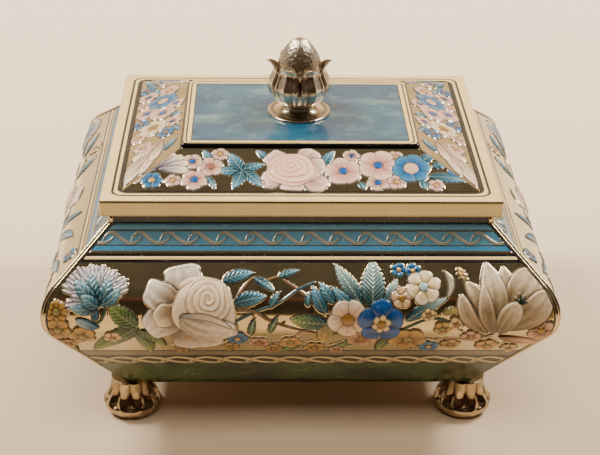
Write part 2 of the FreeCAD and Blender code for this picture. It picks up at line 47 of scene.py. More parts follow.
# ---------------------------------------------------------------- sizes, in millimetres
# Reaches run outward from the edge of the lid, insets run inward from it, and heights run up from the floor.
lid_low, lid_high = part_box("lid_top")
HALF_X = lid_high.x / MM
HALF_Y = lid_high.y / MM
TABLE_Z = lid_high.z / MM
SKIRT_Z = lid_low.z / MM
RIM_Z = SKIRT_Z + 6.5       # top of the lid's flat rim
RIM_WIDTH = 7.3             # from the skirt to the foot of the slope
SLOPE_INSET = 28.5          # head of the slope
SLOPE_Z = 110.0             # head of the slope
NECK_REACH = -2.7
NECK_FOOT_Z = 91.5
NECK_TOP_Z = 101.0
BELLY_REACH, BELLY_Z, BELLY_ROUND = 26.3, 66.0, 16.0
BASE_REACH, BASE_Z = -6.2, 16.5
FLORAL_LOW_Z, FLORAL_HIGH_Z = 44.0, 81.0
FINE = 0.28                 # between grid points of the flower band
SLOPE_FINE = 0.27           # between grid points of the lid's slopes
SOFT_EDGE = 0.34            # over which one painted shape gives way to the next
SKIN = 0.12                 # print above its sheet

# ---------------------------------------------------------------- colours, as display values
CREAM = (0.90, 0.79, 0.54)
OCHRE = (0.46, 0.43, 0.34)
# The rim's cream as it looks on the lit front of the skirt: painted light, warmer and brighter than the same
# print on the rim.
LIT_SKIRT_CREAM = (0.97, 0.85, 0.57)
BLACK = (0.035, 0.035, 0.04)
SILVER = (0.70, 0.64, 0.54)
STEEL_BLUE = (0.20, 0.41, 0.50)
SOLID_BLUE = (0.11, 0.42, 0.58)
GREY_BLUE = (0.26, 0.44, 0.50)
# Near black for the neck's top, under the lid: painted shadow of the lid, far darker than the neck's own
# slate blue.
LID_SHADOW_SLATE = (0.035, 0.055, 0.065)
DARK_GREEN = (0.055, 0.085, 0.05)
ROSE_WHITE = (0.93, 0.85, 0.73)
ROSE_SHADE = (0.62, 0.50, 0.36)
LEAF_GREEN = (0.16, 0.30, 0.20)
LEAF_LIGHT = (0.42, 0.52, 0.28)
LEAF_VEIN = (0.76, 0.76, 0.50)
LEAF_BLUE = (0.07, 0.28, 0.36)
LEAF_BLUE_VEIN = (0.74, 0.82, 0.78)
GOLD = (0.58, 0.43, 0.17)
GOLD_LIGHT = (0.77, 0.62, 0.34)
PALE_PINK = (0.84, 0.68, 0.56)
DEEP_PINK = (0.60, 0.40, 0.30)
DEEP_BLUE = (0.06, 0.24, 0.50)
BRIGHT_BLUE = (0.08, 0.34, 0.64)
SKY_BLUE = (0.27, 0.51, 0.64)
PALE_BLUE = (0.60, 0.71, 0.72)
DUSTY_PINK = (0.84, 0.60, 0.52)
LIGHT_PINK = (0.94, 0.80, 0.72)
LILAC = (0.74, 0.70, 0.76)
MAGNOLIA = (0.84, 0.75, 0.63)
OLIVE = (0.55, 0.50, 0.28)
STEM_BROWN = (0.45, 0.33, 0.22)
BLUE_LEAF = (LEAF_BLUE, SKY_BLUE, LEAF_BLUE_VEIN)

# ---------------------------------------------------------------- the side's section


def unit(vector):
    """The same direction with a length of one."""
    vector = np.array(vector, float)
    return vector / np.linalg.norm(vector)


NECK_FOOT = np.array((NECK_REACH, NECK_FOOT_Z))
BELLY = np.array((BELLY_REACH, BELLY_Z))
BASE = np.array((BASE_REACH, BASE_Z))
SHOULDER_WAY = unit(NECK_FOOT - BELLY)
UNDER_WAY = unit(BELLY - BASE)
half_angle = math.acos(float(SHOULDER_WAY @ -UNDER_WAY)) / 2
inward = unit(SHOULDER_WAY - UNDER_WAY)
ARC_CENTRE = BELLY + inward * BELLY_ROUND / math.sin(half_angle)
UNDER_OUT = np.array((UNDER_WAY[1], -UNDER_WAY[0]))
SHOULDER_OUT = np.array((SHOULDER_WAY[1], -SHOULDER_WAY[0]))
ARC_START = ARC_CENTRE + UNDER_OUT * BELLY_ROUND
ARC_END = ARC_CENTRE + SHOULDER_OUT * BELLY_ROUND
start_angle = math.atan2(UNDER_OUT[1], UNDER_OUT[0])
end_angle = math.atan2(SHOULDER_OUT[1], SHOULDER_OUT[0])
UNDER_LENGTH = float(np.linalg.norm(ARC_START - BASE))
ARC_LENGTH = BELLY_ROUND * (end_angle - start_angle)
SHOULDER_LENGTH = float(np.linalg.norm(NECK_FOOT - ARC_END))
SIDE_LENGTH = UNDER_LENGTH + ARC_LENGTH + SHOULDER_LENGTH


def side_section(along):
    """Reach beyond the lid's edge, height, and outward normal at a distance up the side."""
    along = np.asarray(along, float)
    angle = start_angle + np.clip((along - UNDER_LENGTH) / BELLY_ROUND, 0, end_angle - start_angle)
    out_e, out_z = np.cos(angle), np.sin(angle)
    under = np.minimum(along - UNDER_LENGTH, 0)
    over = np.clip(along - UNDER_LENGTH - ARC_LENGTH, 0, SHOULDER_LENGTH)
    neck = np.maximum(along - SIDE_LENGTH, 0)
    reach = ARC_CENTRE[0] + BELLY_ROUND * out_e + UNDER_WAY[0] * under + SHOULDER_WAY[0] * over
    height = ARC_CENTRE[1] + BELLY_ROUND * out_z + UNDER_WAY[1] * under + SHOULDER_WAY[1] * over + neck
    upright = np.clip(neck / 0.3, 0, 1)
    out_e = out_e * (1 - upright) + upright
    out_z = out_z * (1 - upright)
    size = np.hypot(out_e, out_z)
    return reach, height, out_e / size, out_z / size


section_steps = np.linspace(0, SIDE_LENGTH + 12, 4000)
section_heights = side_section(section_steps)[1]


def along_at(height):
    """Distance up the side at which it reaches a height."""
    return float(np.interp(height, section_heights, section_steps))


FLORAL_START = along_at(FLORAL_LOW_Z)

# ---------------------------------------------------------------- a canvas of paint and relief


def smooth(value):
    """An even rise from 0 to 1 as the value goes from 0 to 1."""
    value = np.clip(value, 0, 1)
    return value * value * (3 - 2 * value)


def cover(depth, softness=SOFT_EDGE):
    """1 inside a shape and 0 outside it, from the depth inside, soft across the edge."""
    return smooth(depth / softness + 0.5)


def hump(distance, width):
    """1 at no distance, falling to nothing within about twice the width."""
    return np.exp(-(distance / width) ** 2)


def waves(x, y, scale, seed):
    """A soft random pattern between about -1 and 1, the same on every run."""
    rng = np.random.default_rng(seed)
    total = np.zeros(np.broadcast(x, y).shape)
    for _ in range(7):
        angle = rng.uniform(0, math.tau)
        pace = rng.uniform(0.6, 1.7) * math.tau / scale
        start = rng.uniform(0, math.tau)
        total += np.sin((x * math.cos(angle) + y * math.sin(angle)) * pace + start)
    return total / 3.2


def mix(first, second, amount):
    """Colours part of the way from the first to the second."""
    first = np.asarray(first, float)
    second = np.asarray(second, float)
    amount = np.asarray(amount, float)[..., None]
    return first * (1 - amount) + second * amount


class Canvas:
    """Paint, bare metal and relief over a grid of points, all in millimetres."""

    def __init__(self, x, y, paint=SILVER, metal=1.0):
        self.x, self.y = np.broadcast_arrays(x, y)
        self.relief = np.zeros(self.x.shape)
        self.metal = np.full(self.x.shape, float(metal))
        self.paint = np.zeros(self.x.shape + (3,)) + np.array(paint)

    def window(self, centre, reach):
        """The patch of the grid round a point, and its points measured from there."""
        rows = np.nonzero(np.abs(self.y[:, 0] - centre[1]) < reach)[0]
        cols = np.nonzero((np.abs(self.x - centre[0]) < reach).any(axis=0))[0]
        if not len(rows) or not len(cols):
            return None, None, None
        where = (slice(rows[0], rows[-1] + 1), slice(cols[0], cols[-1] + 1))
        return where, self.x[where] - centre[0], self.y[where] - centre[1]

    def stamp(self, where, mask, colour, lift, metal=0.0):
        """Lays one shape over what is already there."""
        keep = 1 - mask
        self.paint[where] = self.paint[where] * keep[..., None] + colour * mask[..., None]
        self.metal[where] = self.metal[where] * keep + metal * mask
        self.relief[where] = self.relief[where] * keep + lift * mask


def blade(canvas, base, tip, width, colour, tip_colour=None, bend=0.0, belly=0.6, point=0.6, lift=0.7,
          level=0.25, ribs=0, rib_colour=None, teeth=0.0, wavy=0.0, folds=2, fold_depth=0.12,
          cup=0.0, metal=0.12):
    """A petal or leaf from its base to its tip, domed, ribbed or folded, with a dark drawn edge."""
    base, tip = np.array(base, float), np.array(tip, float)
    length = float(np.hypot(*(tip - base)))
    way = (tip - base) / length
    where, dx, dy = canvas.window((base + tip) / 2, length / 2 + width * 0.7 + abs(bend) * length + 1)
    if where is None:
        return
    u = (dx * way[0] + dy * way[1]) / length + 0.5
    inside = np.clip(u, 0, 1)
    v = dy * way[0] - dx * way[1] - bend * length * 4 * inside * (1 - inside)
    peak_at = belly / (belly + point)
    peak = peak_at ** belly * (1 - peak_at) ** point
    half = width / 2 * inside ** belly * (1 - inside) ** point / peak
    if wavy:
        half = half * (1 + wavy * np.sin(inside * 13 + base[0]))
    if teeth:
        half = half * (1 - teeth * (0.5 + 0.5 * np.sin(inside * length * 3.4)))
    depth = np.minimum(half - np.abs(v), (1 - u) * length)
    end = np.minimum(u, 1 - u) * length
    mask = cover(depth) * cover(end, 0.3)
    across = np.clip(v / np.maximum(half, 0.25), -1, 1)
    round_up = np.sqrt(np.maximum(1 - across ** 2, 0))
    shade = mix(colour, tip_colour if tip_colour is not None else colour, smooth(inside * 1.2 - 0.1))
    grain = waves(dx, dy, 2.2, 5) * 0.05
    shade = shade * (1 + grain[..., None])
    crest = hump(depth - 1.0, 0.45)
    height = level + lift * (round_up * (0.65 + 0.35 * inside) - cup * hump(across, 0.5))
    if ribs:
        middle = hump(v, 0.26)
        phase = inside * ribs - np.abs(v) / max(width, 1) * ribs * 0.55
        side = hump(phase % 1 - 0.5, 0.13) * smooth((inside - 0.05) * 9)
        line = np.clip(np.maximum(middle, side * 0.75), 0, 1)
        shade = mix(shade, rib_colour, line * 0.75)
        height = height - 0.16 * line + 0.08 * np.cos((phase % 1) * math.tau)
    else:
        fold = 0.5 + 0.5 * np.cos(across * folds * math.pi + inside * 1.4)
        veins = 0.5 + 0.5 * np.cos(across * 13 + waves(dx, dy, 5.0, 8))
        shade = shade * (1 - 0.24 * fold * smooth(1.1 - inside) - 0.07 * veins)[..., None]
        height = height - fold_depth * fold
    shade = shade * (1 + 0.12 * crest - 0.26 * (1 - inside) ** 1.5)[..., None]
    edge = hump(depth - 0.10, 0.26)
    shade = shade * (1 - 0.62 * edge)[..., None]
    height = height + (0.05 if ribs else 0.20) * crest * (depth > 0)
    canvas.stamp(where, mask, shade, height, metal)


def leaf(canvas, base, tip, width, colour=LEAF_GREEN, light=LEAF_LIGHT, vein=LEAF_VEIN, bend=0.04):
    """A toothed, ribbed leaf."""
    length = math.dist(base, tip)
    blade(canvas, base, tip, width, colour, light, bend=bend, belly=0.58, point=0.88, lift=0.62,
          ribs=max(4, int(length * 0.62)), rib_colour=vein, teeth=0.10 if length > 7 else 0.0, metal=0.24)


def leaves(canvas, items, *paint, face=1):
    """(base x, base y, tip x, tip y, width) for each leaf of one paint. A face of -1 mirrors them."""
    for base_x, base_y, tip_x, tip_y, width in items:
        leaf(canvas, (base_x * face, base_y), (tip_x * face, tip_y), width, *paint)


def petal_ring(canvas, centre, radius, count, colour, heart, heart_radius, turn=0.0,
               tip_colour=None, gap=0.20, lift=0.75, level=0.35, metal=0.15):
    """An open flower: a ring of domed petals round a raised, stippled heart."""
    where, dx, dy = canvas.window(centre, radius * 1.15 + 0.5)
    if where is None:
        return
    reach = np.hypot(dx, dy)
    angle = np.arctan2(dy, dx) - turn
    lobe = np.abs(np.cos(angle * count / 2))
    wobble = waves(dx * 0.6, dy * 0.6, 5.0, int(abs(centre[0]) * 7) % 97) * 0.03
    edge = radius * (1 - gap * (1 - lobe ** 0.55) + wobble)
    depth = edge - reach
    mask = cover(depth)
    out = np.clip(reach / radius, 0, 1.2)
    seam = hump(lobe * np.maximum(reach, 0.4) * 3.2 / count, 0.22)
    shade = mix(colour, tip_colour if tip_colour is not None else colour, smooth(out * 1.25 - 0.2))
    lines = 0.5 + 0.5 * np.cos(angle * count * 3)
    shade = shade * (1 - 0.16 * lines * smooth(1.3 - out * 1.2) - 0.50 * seam)[..., None]
    line = hump(depth - 0.10, 0.26)
    shade = shade * (1 - 0.62 * line)[..., None]
    petal_dome = lobe ** 0.6 * np.sin(np.clip(out, 0, 1) * math.pi * 0.80 + 0.35)
    height = level + lift * (0.25 + 0.75 * petal_dome) - 0.12 * seam
    height = height + 0.16 * hump(depth - 0.8, 0.4)
    middle = heart_radius - reach
    core = cover(middle, 0.3)
    stipple = np.sin(dx * 6.3 + dy * 1.1) * np.sin(dy * 6.9 - dx * 1.3)
    core_shade = np.array(heart) * (1 + 0.20 * stipple)[..., None]
    ring = hump(middle + 0.1, 0.26)
    shade = mix(shade, core_shade, core) * (1 - 0.42 * ring)[..., None]
    bulge = level + lift * 0.55 + 0.06 * stipple
    bulge = bulge + 0.5 * np.sqrt(np.clip(1 - (reach / heart_radius) ** 2, 0, 1))
    height = height * (1 - core) + bulge * core
    canvas.stamp(where, mask, shade, height, metal)


def rose_ball(canvas, centre, half_width, half_height, heart, colour, shadow, turns=3.1, turn=0.0,
              lift=1.15, level=0.45, swirl=1.0):
    """A full rose head: petals wound round a heart that sits off the middle."""
    reach = max(half_width, half_height) * 1.12
    where, dx, dy = canvas.window(centre, reach)
    if where is None:
        return
    off = np.array(heart, float) - np.array(centre, float)
    ring = np.ones(dx.shape)
    for _ in range(6):
        px = dx - off[0] * (1 - ring)
        py = dy - off[1] * (1 - ring)
        ring = np.clip(np.hypot(px / half_width, py / half_height), 0, 1.4)
    angle = np.arctan2(py / half_height, px / half_width)
    edge = 1 + 0.045 * np.cos(angle * 5 + turn) + 0.03 * np.cos(angle * 3 + 1.1)
    depth = (edge - ring) * min(half_width, half_height)
    mask = cover(depth)
    bumps = 0.10 * np.cos(angle * 3 + ring * 5 + turn) + 0.05 * np.cos(angle * 5 - ring * 9)
    phase = ring ** 0.80 * turns - swirl * (angle + turn) / math.tau + bumps * smooth(ring * 2)
    step = phase % 1
    fade = smooth(ring * 7)
    crease = (np.exp(-step / 0.10) + 0.55 * np.exp(-(1 - step) / 0.04)) * (0.35 + 0.65 * fade)
    shade = mix(colour, shadow, np.clip(0.95 * crease + 0.30 * (1 - step) ** 2, 0, 1))
    veins = np.cos(angle * 26 + waves(dx, dy, 6, 3) * 2)
    shade = shade * (1 + 0.025 * veins + 0.06 * smooth(step * 3 - 2))[..., None]
    line = hump(depth - 0.08, 0.24)
    shade = shade * (1 - 0.42 * line)[..., None]
    dome = np.sqrt(np.clip(1.02 - (ring / 1.05) ** 2, 0, 1))
    height = level + lift * dome + 0.42 * step * fade - 0.16 * crease
    canvas.stamp(where, mask, shade, height)


def curve_points(points, per_span=9):
    """A smooth line through given points."""
    points = [np.array(p, float) for p in points]
    padded = [2 * points[0] - points[1]] + points + [2 * points[-1] - points[-2]]
    line = []
    for i in range(len(points) - 1):
        a, b, c, d = padded[i:i + 4]
        for s in np.linspace(0, 1, per_span, endpoint=False):
            line.append(0.5 * (2 * b + (c - a) * s + (2 * a - 5 * b + 4 * c - d) * s ** 2
                               + (3 * b - a - 3 * c + d) * s ** 3))
    line.append(points[-1])
    return np.array(line)


def stem(canvas, points, width=0.9, colour=STEM_BROWN, lift=0.35, level=0.1, thorns=False, taper=0.0,
         metal=0.0):
    """A rounded line through points, thinner at its ends by its taper, with a thorn here and there."""
    line = curve_points(points)
    middle = (line.min(0) + line.max(0)) / 2
    where, dx, dy = canvas.window(middle, float(np.ptp(line, axis=0).max()) / 2 + width + 2)
    if where is None:
        return
    depth = np.full(dx.shape, -1e9)
    light = np.zeros(dx.shape)
    for number, (a, b) in enumerate(zip(line[:-1] - middle, line[1:] - middle)):
        span = b - a
        s = np.clip(((dx - a[0]) * span[0] + (dy - a[1]) * span[1]) / max(span @ span, 1e-6), 0, 1)
        far = np.hypot(dx - a[0] - s * span[0], dy - a[1] - s * span[1])
        ended = abs(2 * (number + 0.5) / (len(line) - 1) - 1)
        half = width / 2 * (1 - taper * ended ** 2.2)
        nearer = half - far > depth
        depth = np.where(nearer, half - far, depth)
        light = np.where(nearer, np.sqrt(np.clip(1 - (far / half) ** 2, 0, 1)), light)
    mask = cover(depth, 0.28)
    shade = np.array(colour) * (0.50 + 0.60 * light)[..., None]
    canvas.stamp(where, mask, shade, level + lift * light, metal)
    if thorns:
        for k in range(8, len(line) - 4, 14):
            way = unit(line[k + 1] - line[k])
            side = np.array((-way[1], way[0])) * (1 if (k // 14) % 2 else -1)
            blade(canvas, line[k], line[k] + side * 2.0 + way * 0.8, 1.1, colour, GOLD, lift=0.2, level=0.15)


def fan(canvas, hub, tips, width, colour, tip_colour, lift=0.55, level=0.3, notch=True):
    """Thin rays from a hub, each split at its tip like a cornflower's."""
    hub = np.array(hub, float)
    for tip in tips:
        tip = np.array(tip, float)
        way = tip - hub
        side = np.array((-way[1], way[0])) * 0.12
        if notch:
            for shift in (-1, 1, 0):
                end = hub + way * (0.94 if shift else 1.0) + side * shift
                blade(canvas, hub, end, width, colour, tip_colour, belly=0.9, point=0.35, lift=lift,
                      level=level, folds=1, fold_depth=0.10)
        else:
            blade(canvas, hub, tip, width, colour, tip_colour, belly=0.6, point=0.7, lift=lift, level=level)


# ---------------------------------------------------------------- groups of flowers
# Places are (along, up) in millimetres on the unrolled panel. They don't come from the frame. Many of them,
# most of all in paint_front, are figures that a measuring script outside this file worked out from points
# picked on the photograph, kept as they were or moved a little by hand.


FLOWERS = {
    # kind: petals, petal colour, tip colour, heart colour
    "gold": (5, GOLD, GOLD_LIGHT, OLIVE),
    "full gold": (8, GOLD, GOLD_LIGHT, OLIVE),
    "gold, pink heart": (5, GOLD, GOLD_LIGHT, DEEP_PINK),
    "orange": (5, (0.80, 0.56, 0.34), GOLD_LIGHT, OLIVE),
    "cream": (5, PALE_PINK, CREAM, GOLD),
    "white": (6, CREAM, ROSE_WHITE, GOLD),
    "pink": (5, DEEP_PINK, PALE_PINK, GOLD),
    "full pink": (6, DEEP_PINK, PALE_PINK, GOLD),
    "blue": (5, BRIGHT_BLUE, SKY_BLUE, GOLD),
    "blue, pale heart": (5, BRIGHT_BLUE, SKY_BLUE, GOLD_LIGHT),
    "rosy": (5, DUSTY_PINK, LIGHT_PINK, GOLD),
    "rosy, pale heart": (5, DUSTY_PINK, LIGHT_PINK, GOLD_LIGHT),
    "rosy, blue heart": (5, DUSTY_PINK, LIGHT_PINK, BRIGHT_BLUE),
    "rosy, dark heart": (5, DUSTY_PINK, LIGHT_PINK, DEEP_BLUE),
    "rosy, pink heart": (5, DUSTY_PINK, LIGHT_PINK, DEEP_PINK)}


def small_flowers(canvas, items, face=1):
    """(x, y, radius, kind) for each small open flower. A face of -1 mirrors their places."""
    for number, (x, y, radius, kind) in enumerate(items):
        count, colour, tip, heart = FLOWERS[kind]
        petal_ring(canvas, (x * face, y), radius * 1.14, count, colour, heart, radius * 0.32,
                   turn=number * 0.9, tip_colour=tip, gap=0.24, lift=0.55, metal=0.22)


def cornflower(canvas, x, y, size=1.0, face=1):
    """A head of split rays over a cup of pointed blue leaves."""
    def at(points):
        return [(x + px * size * face, y + py * size) for px, py in points]
    stem(canvas, at([(1, 0), (3, -3), (1.5, -7.3), (-0.5, -9.5)]), 1.0 * size, LEAF_GREEN)
    blade(canvas, *at([(-0.5, -3), (-1.2, -8.4)]), 3.0 * size, SKY_BLUE, LEAF_BLUE, lift=0.6)
    fan(canvas, (x, y), at([(-13, 5.4), (-12, -2.1), (-7.5, 12.3), (2, 13.3), (11, 7.8), (9.5, 3.1),
                            (-11, 9.6), (-2.6, 13.6), (6.6, 11.4), (-8, -4.6), (11.2, 5.2)]),
        2.1 * size, (0.62, 0.66, 0.72), (0.86, 0.83, 0.84))
    fan(canvas, (x, y), at([(-10.5, 7.0), (-5.2, 9.4), (0.6, 10.4), (6.2, 8.6), (8.8, 5.2), (-9.6, 1.6)]),
        2.0 * size, (0.42, 0.55, 0.64), (0.80, 0.80, 0.82), level=0.55)
    for base, tip, width, bend in (((1, -1), (4.2, 8.6), 5.0, -0.10), ((0, 0), (-2.4, 10.0), 5.2, 0.08),
                                   ((0, -1), (-8.4, 7.4), 5.6, 0.05), ((1, -2), (8.4, 4.6), 4.6, -0.12),
                                   ((0.5, -2), (-10.2, -2.6), 5.0, 0.10),
                                   ((1, -2.6), (-6.0, 1.8), 5.4, 0.05)):
        blade(canvas, *at([base, tip]), width * size, (0.06, 0.24, 0.32), (0.36, 0.55, 0.62), lift=0.75,
              level=0.8, bend=bend * face, belly=0.6, point=0.85, ribs=5, rib_colour=LEAF_BLUE_VEIN)


def white_rose(canvas, x, y, size=1.0, face=1, colour=ROSE_WHITE, shadow=ROSE_SHADE):
    """The big rose: loose petals to one side and below, a wound ball, and folded lips over it."""
    def p(px, py):
        return (x + px * size * face, y + py * size)
    warm = (0.93, 0.88, 0.82)
    outer = ((-4, -6, -1.0, -23.6, 20.0, 0.0), (7, -5, 9.5, -14.5, 10.0, 0.0),
             (-6, -3, -20.2, -11.6, 14.0, -0.06), (-5, 1, -7.8, 14.4, 14.5, 0.03),
             (-6, -1, -20.6, 5.6, 11.5, 0.06))
    for bx, by, tx, ty, width, bend in outer:
        blade(canvas, p(bx, by), p(tx, ty), width * size, shadow, warm, belly=0.42, point=0.26, cup=0.25,
              bend=bend * face, wavy=0.05, folds=3, lift=0.85)
    blade(canvas, p(-7, -3), p(-17.6, -6.4), 9.5 * size, shadow, colour, belly=0.5, point=0.35, cup=0.2,
          bend=-0.05 * face, wavy=0.05, level=0.6)
    rose_ball(canvas, p(0.5, -2.0), 11.8 * size, 11.9 * size, p(2.4, 1.2), colour, shadow, turns=1.9,
              turn=2.0 if face > 0 else 1.1, swirl=face)
    rose_ball(canvas, p(2.2, 1.0), 8.3 * size, 8.2 * size, p(2.6, 1.4), colour, shadow, turns=4.2,
              turn=2.4 if face > 0 else 0.7, swirl=face, lift=0.75, level=1.35)
    blade(canvas, p(-8.6, -4.8), p(12.2, -9.8), 11.6 * size, colour, warm, belly=0.5, point=0.42,
          bend=-0.13 * face, lift=0.7, level=1.05, folds=3, fold_depth=0.06)
    blade(canvas, p(-8.4, -4.6), p(11.6, -9.2), 2.8 * size, warm, colour, belly=0.5, point=0.5,
          bend=0.11 * face, lift=0.5, level=1.5, folds=1)


def magnolia(canvas, x, y):
    """A wide flower of long pointed petals, drawn with its foot at the given point."""
    def p(px, py):
        return (x + px, y + py)
    deep, pale, light = (0.58, 0.48, 0.32), MAGNOLIA, (0.90, 0.82, 0.70)
    stem(canvas, [p(-3, 6), p(-8, 15), p(-14, 23)], 1.4, OLIVE)
    blade(canvas, p(-12, 20), p(-15.5, 26.6), 3.8, OLIVE, GOLD_LIGHT, lift=0.6, teeth=0.3)
    for foot, tip, width, tip_colour, belly, point, cup, bend, folds, level in (
            ((-4, 8), (-13, 21.0), 6.4, pale, 0.7, 0.7, 0.3, -0.04, 2, 0.25),
            ((-3.5, 0), (-15.0, 16.2), 6.6, pale, 0.8, 0.55, 0.3, 0.10, 2, 0.25),
            ((4, 12), (1.5, 27), 6.5, pale, 0.7, 0.8, 0.3, 0.0, 2, 0.25),
            ((3, 9), (13.2, 25.0), 13.0, pale, 0.6, 0.32, 0.3, 0.0, 3, 0.25),
            ((1, 2), (18.4, 16.6), 11.5, pale, 0.75, 0.45, 0.3, -0.08, 3, 0.25),
            ((-1.5, 0), (-5.0, 29.0), 10.6, light, 0.75, 0.85, 0.2, -0.04, 3, 0.35),
            ((-1.2, 0), (-6.4, 20.0), 6.4, pale, 0.75, 0.8, 0.0, 0.06, 1, 0.55),
            ((0.4, 0), (7.0, 13.4), 9.0, light, 0.75, 0.6, 0.25, 0.05, 3, 0.6)):
        blade(canvas, p(*foot), p(*tip), width, deep, tip_colour, belly=belly, point=point, cup=cup,
              bend=bend, folds=folds, level=level)
    fan(canvas, p(7.6, 12.6), [p(5.4, 15.2), p(7.2, 16.8), p(9.4, 16.0), p(10.4, 13.8), p(8.6, 14.6)],
        0.9, LEAF_GREEN, LEAF_BLUE, level=1.0, notch=False)
    blade(canvas, p(0.5, -1.8), p(15.5, -6.0), 5.6, DEEP_PINK, PALE_PINK, belly=0.6, point=0.5, bend=-0.06,
          metal=0.4)


def paint_front(canvas):
    """The front: cornflower, white rose, blue sprays, a cluster of open flowers, and a magnolia."""
    leaf(canvas, (-91.5, 12.5), (-84.5, 0.9), 5)
    leaf(canvas, (-61, 19.6), (-79, 1.6), 9.5, bend=-0.03)
    leaves(canvas, ((-61, 16.8, -57, -0.2, 6.5), (-60, 17.7, -51, 5.6, 6), (-61, 19.4, -71.5, 28.5, 8.5)))
    blade(canvas, (-75, 19), (-83.5, 22.5), 4.6, SKY_BLUE, PALE_BLUE, bend=0.1)
    small_flowers(canvas, [
        (-90.5, 25.6, 4.0, "full gold"), (-90.5, 18.0, 4.6, "gold"), (-81.8, 14.4, 4.7, "gold"),
        (-87.5, 8.4, 3.4, "gold, pink heart"), (-70.5, 13.6, 3.2, "cream"), (-45.5, 3.6, 3.0, "gold")])
    cornflower(canvas, -75.5, 29.8)

    stem(canvas, [(-27, 26), (-22, 34), (-18, 38.1), (-13.5, 37.1), (-9, 38.3), (-4.5, 35.7), (0, 32.6),
                  (4, 29.6), (9, 25.8), (14, 24)], 1.0)
    stem(canvas, [(-27, 20), (-17.5, 25.3), (-9, 28.6), (-1.5, 33.6), (4.5, 36.3)], 0.9, LEAF_BLUE)
    stem(canvas, [(-26, 26), (-17.5, 25.3), (-12, 21.8), (-1.5, 17.7), (9, 15.4), (16, 16)], 1.0,
         thorns=True)
    stem(canvas, [(-20, 8), (-8, 9), (0.5, 17), (9, 18.9), (16, 20)], 0.9, thorns=True)
    leaves(canvas, (
        (-29.5, 36.9, -17.5, 40, 5.5), (-18, 38.1, -10, 32.6, 3.6),
        (-25, 28.6, -13, 31, 6.2), (-12, 26.7, -8, 33, 3.0), (-9, 38.3, -0.5, 41, 3.4),
        (9, 24.8, 3.8, 35, 5.2), (12, 28.6, 6.5, 36.5, 4.6), (2, 27.2, 2.8, 33, 2.6)), *BLUE_LEAF)
    leaf(canvas, (9.5, 20.8), (-4.5, 22.6), 7.0, LEAF_BLUE, LEAF_LIGHT)
    leaf(canvas, (9, 20.1), (7.5, 9.4), 7.0, OLIVE, GOLD_LIGHT)
    leaves(canvas, ((-19, 14.7, -17.5, 23, 3.2), (-12, 16, -9, 23.6, 3.2)), LEAF_GREEN, LEAF_BLUE)
    leaves(canvas, ((0, 6, -9.5, 1.0, 3.6), (22, 11, 13, 5.4, 4.4)))
    small_flowers(canvas, [
        (-24, 12.5, 3.9, "blue, pale heart"), (-16, 9.0, 3.8, "pink"), (-26.5, 5.2, 3.2, "gold"),
        (-10.5, 3.8, 3.2, "gold, pink heart"), (-4, 9.4, 4.0, "orange"), (5, 4.4, 3.8, "gold"),
        (13.5, 2.6, 2.8, "pink")])
    white_rose(canvas, -37, 28.6)

    leaves(canvas, (
        (22, 28, 12, 43.8, 6.6), (31, 27, 35.5, 38, 5.0),
        (26, 27, 26.5, 45, 9.6)), (0.10, 0.26, 0.30), PALE_BLUE, (0.84, 0.86, 0.78), 0.0)
    leaf(canvas, (20, 27), (10.5, 35), 4.4, *BLUE_LEAF)
    leaves(canvas, ((32, 13.5, 28.5, 1.4, 5.2), (34, 13, 42, 1.6, 4.2)))
    leaf(canvas, (38.5, 21.8), (54.5, 30.6), 5.0, LEAF_BLUE, PALE_BLUE, LEAF_BLUE_VEIN)
    leaf(canvas, (52, 25), (60, 26.2), 3.4, OLIVE, GOLD_LIGHT)
    stem(canvas, [(36, 17), (46, 22), (53, 22), (60, 17)], 0.8, LEAF_GREEN)
    stem(canvas, [(40, 14), (52, 12), (64, 12), (72, 15)], 0.9, thorns=True)
    blade(canvas, (52.5, 41), (53.5, 30.0), 2.8, (0.78, 0.74, 0.62), (0.62, 0.60, 0.50), bend=0.22)
    small_flowers(canvas, [
        (22.4, 12.2, 5.2, "pink"), (40, 11.3, 6.6, "gold"), (48.5, 5.4, 3.8, "blue, pale heart"),
        (56.5, 7.6, 3.6, "gold"), (52.5, 18.6, 3.0, "gold"), (57.5, 20.6, 2.8, "cream"),
        (63.5, 13.8, 3.6, "pink"), (70.5, 6.6, 4.2, "orange"), (79.5, 4.0, 3.2, "cream"),
        (47.0, 24.4, 2.4, "cream"), (89.5, 17.6, 4.8, "full pink"), (91.5, 25.6, 3.2, "gold")])
    petal_ring(canvas, (36.0, 41.0), 3.1, 5, BRIGHT_BLUE, GOLD_LIGHT, 0.9, tip_colour=SKY_BLUE, gap=0.25)
    petal_ring(canvas, (41.2, 40.6), 3.3, 5, BRIGHT_BLUE, GOLD_LIGHT, 0.9, turn=0.5, tip_colour=SKY_BLUE,
               gap=0.25)
    petal_ring(canvas, (36.8, 30.6), 4.2, 5, CREAM, GOLD, 1.2, turn=0.4, tip_colour=PALE_PINK, gap=0.22)
    petal_ring(canvas, (45, 34.4), 6.6, 6, CREAM, PALE_BLUE, 1.7, turn=0.3, tip_colour=ROSE_WHITE, gap=0.22)
    petal_ring(canvas, (17.0, 22.6), 7.8, 5, PALE_PINK, GOLD, 2.3, turn=0.9, tip_colour=ROSE_WHITE, gap=0.2,
               level=0.5)
    petal_ring(canvas, (29.4, 21.2), 8.8, 5, DEEP_BLUE, GOLD_LIGHT, 2.9, turn=0.3, tip_colour=BRIGHT_BLUE,
               gap=0.2, level=0.6)
    petal_ring(canvas, (29.4, 21.2), 3.7, 6, CREAM, GOLD, 1.5, turn=0.3, gap=0.34, level=1.3, lift=0.35)
    magnolia(canvas, 73.5, 15.6)


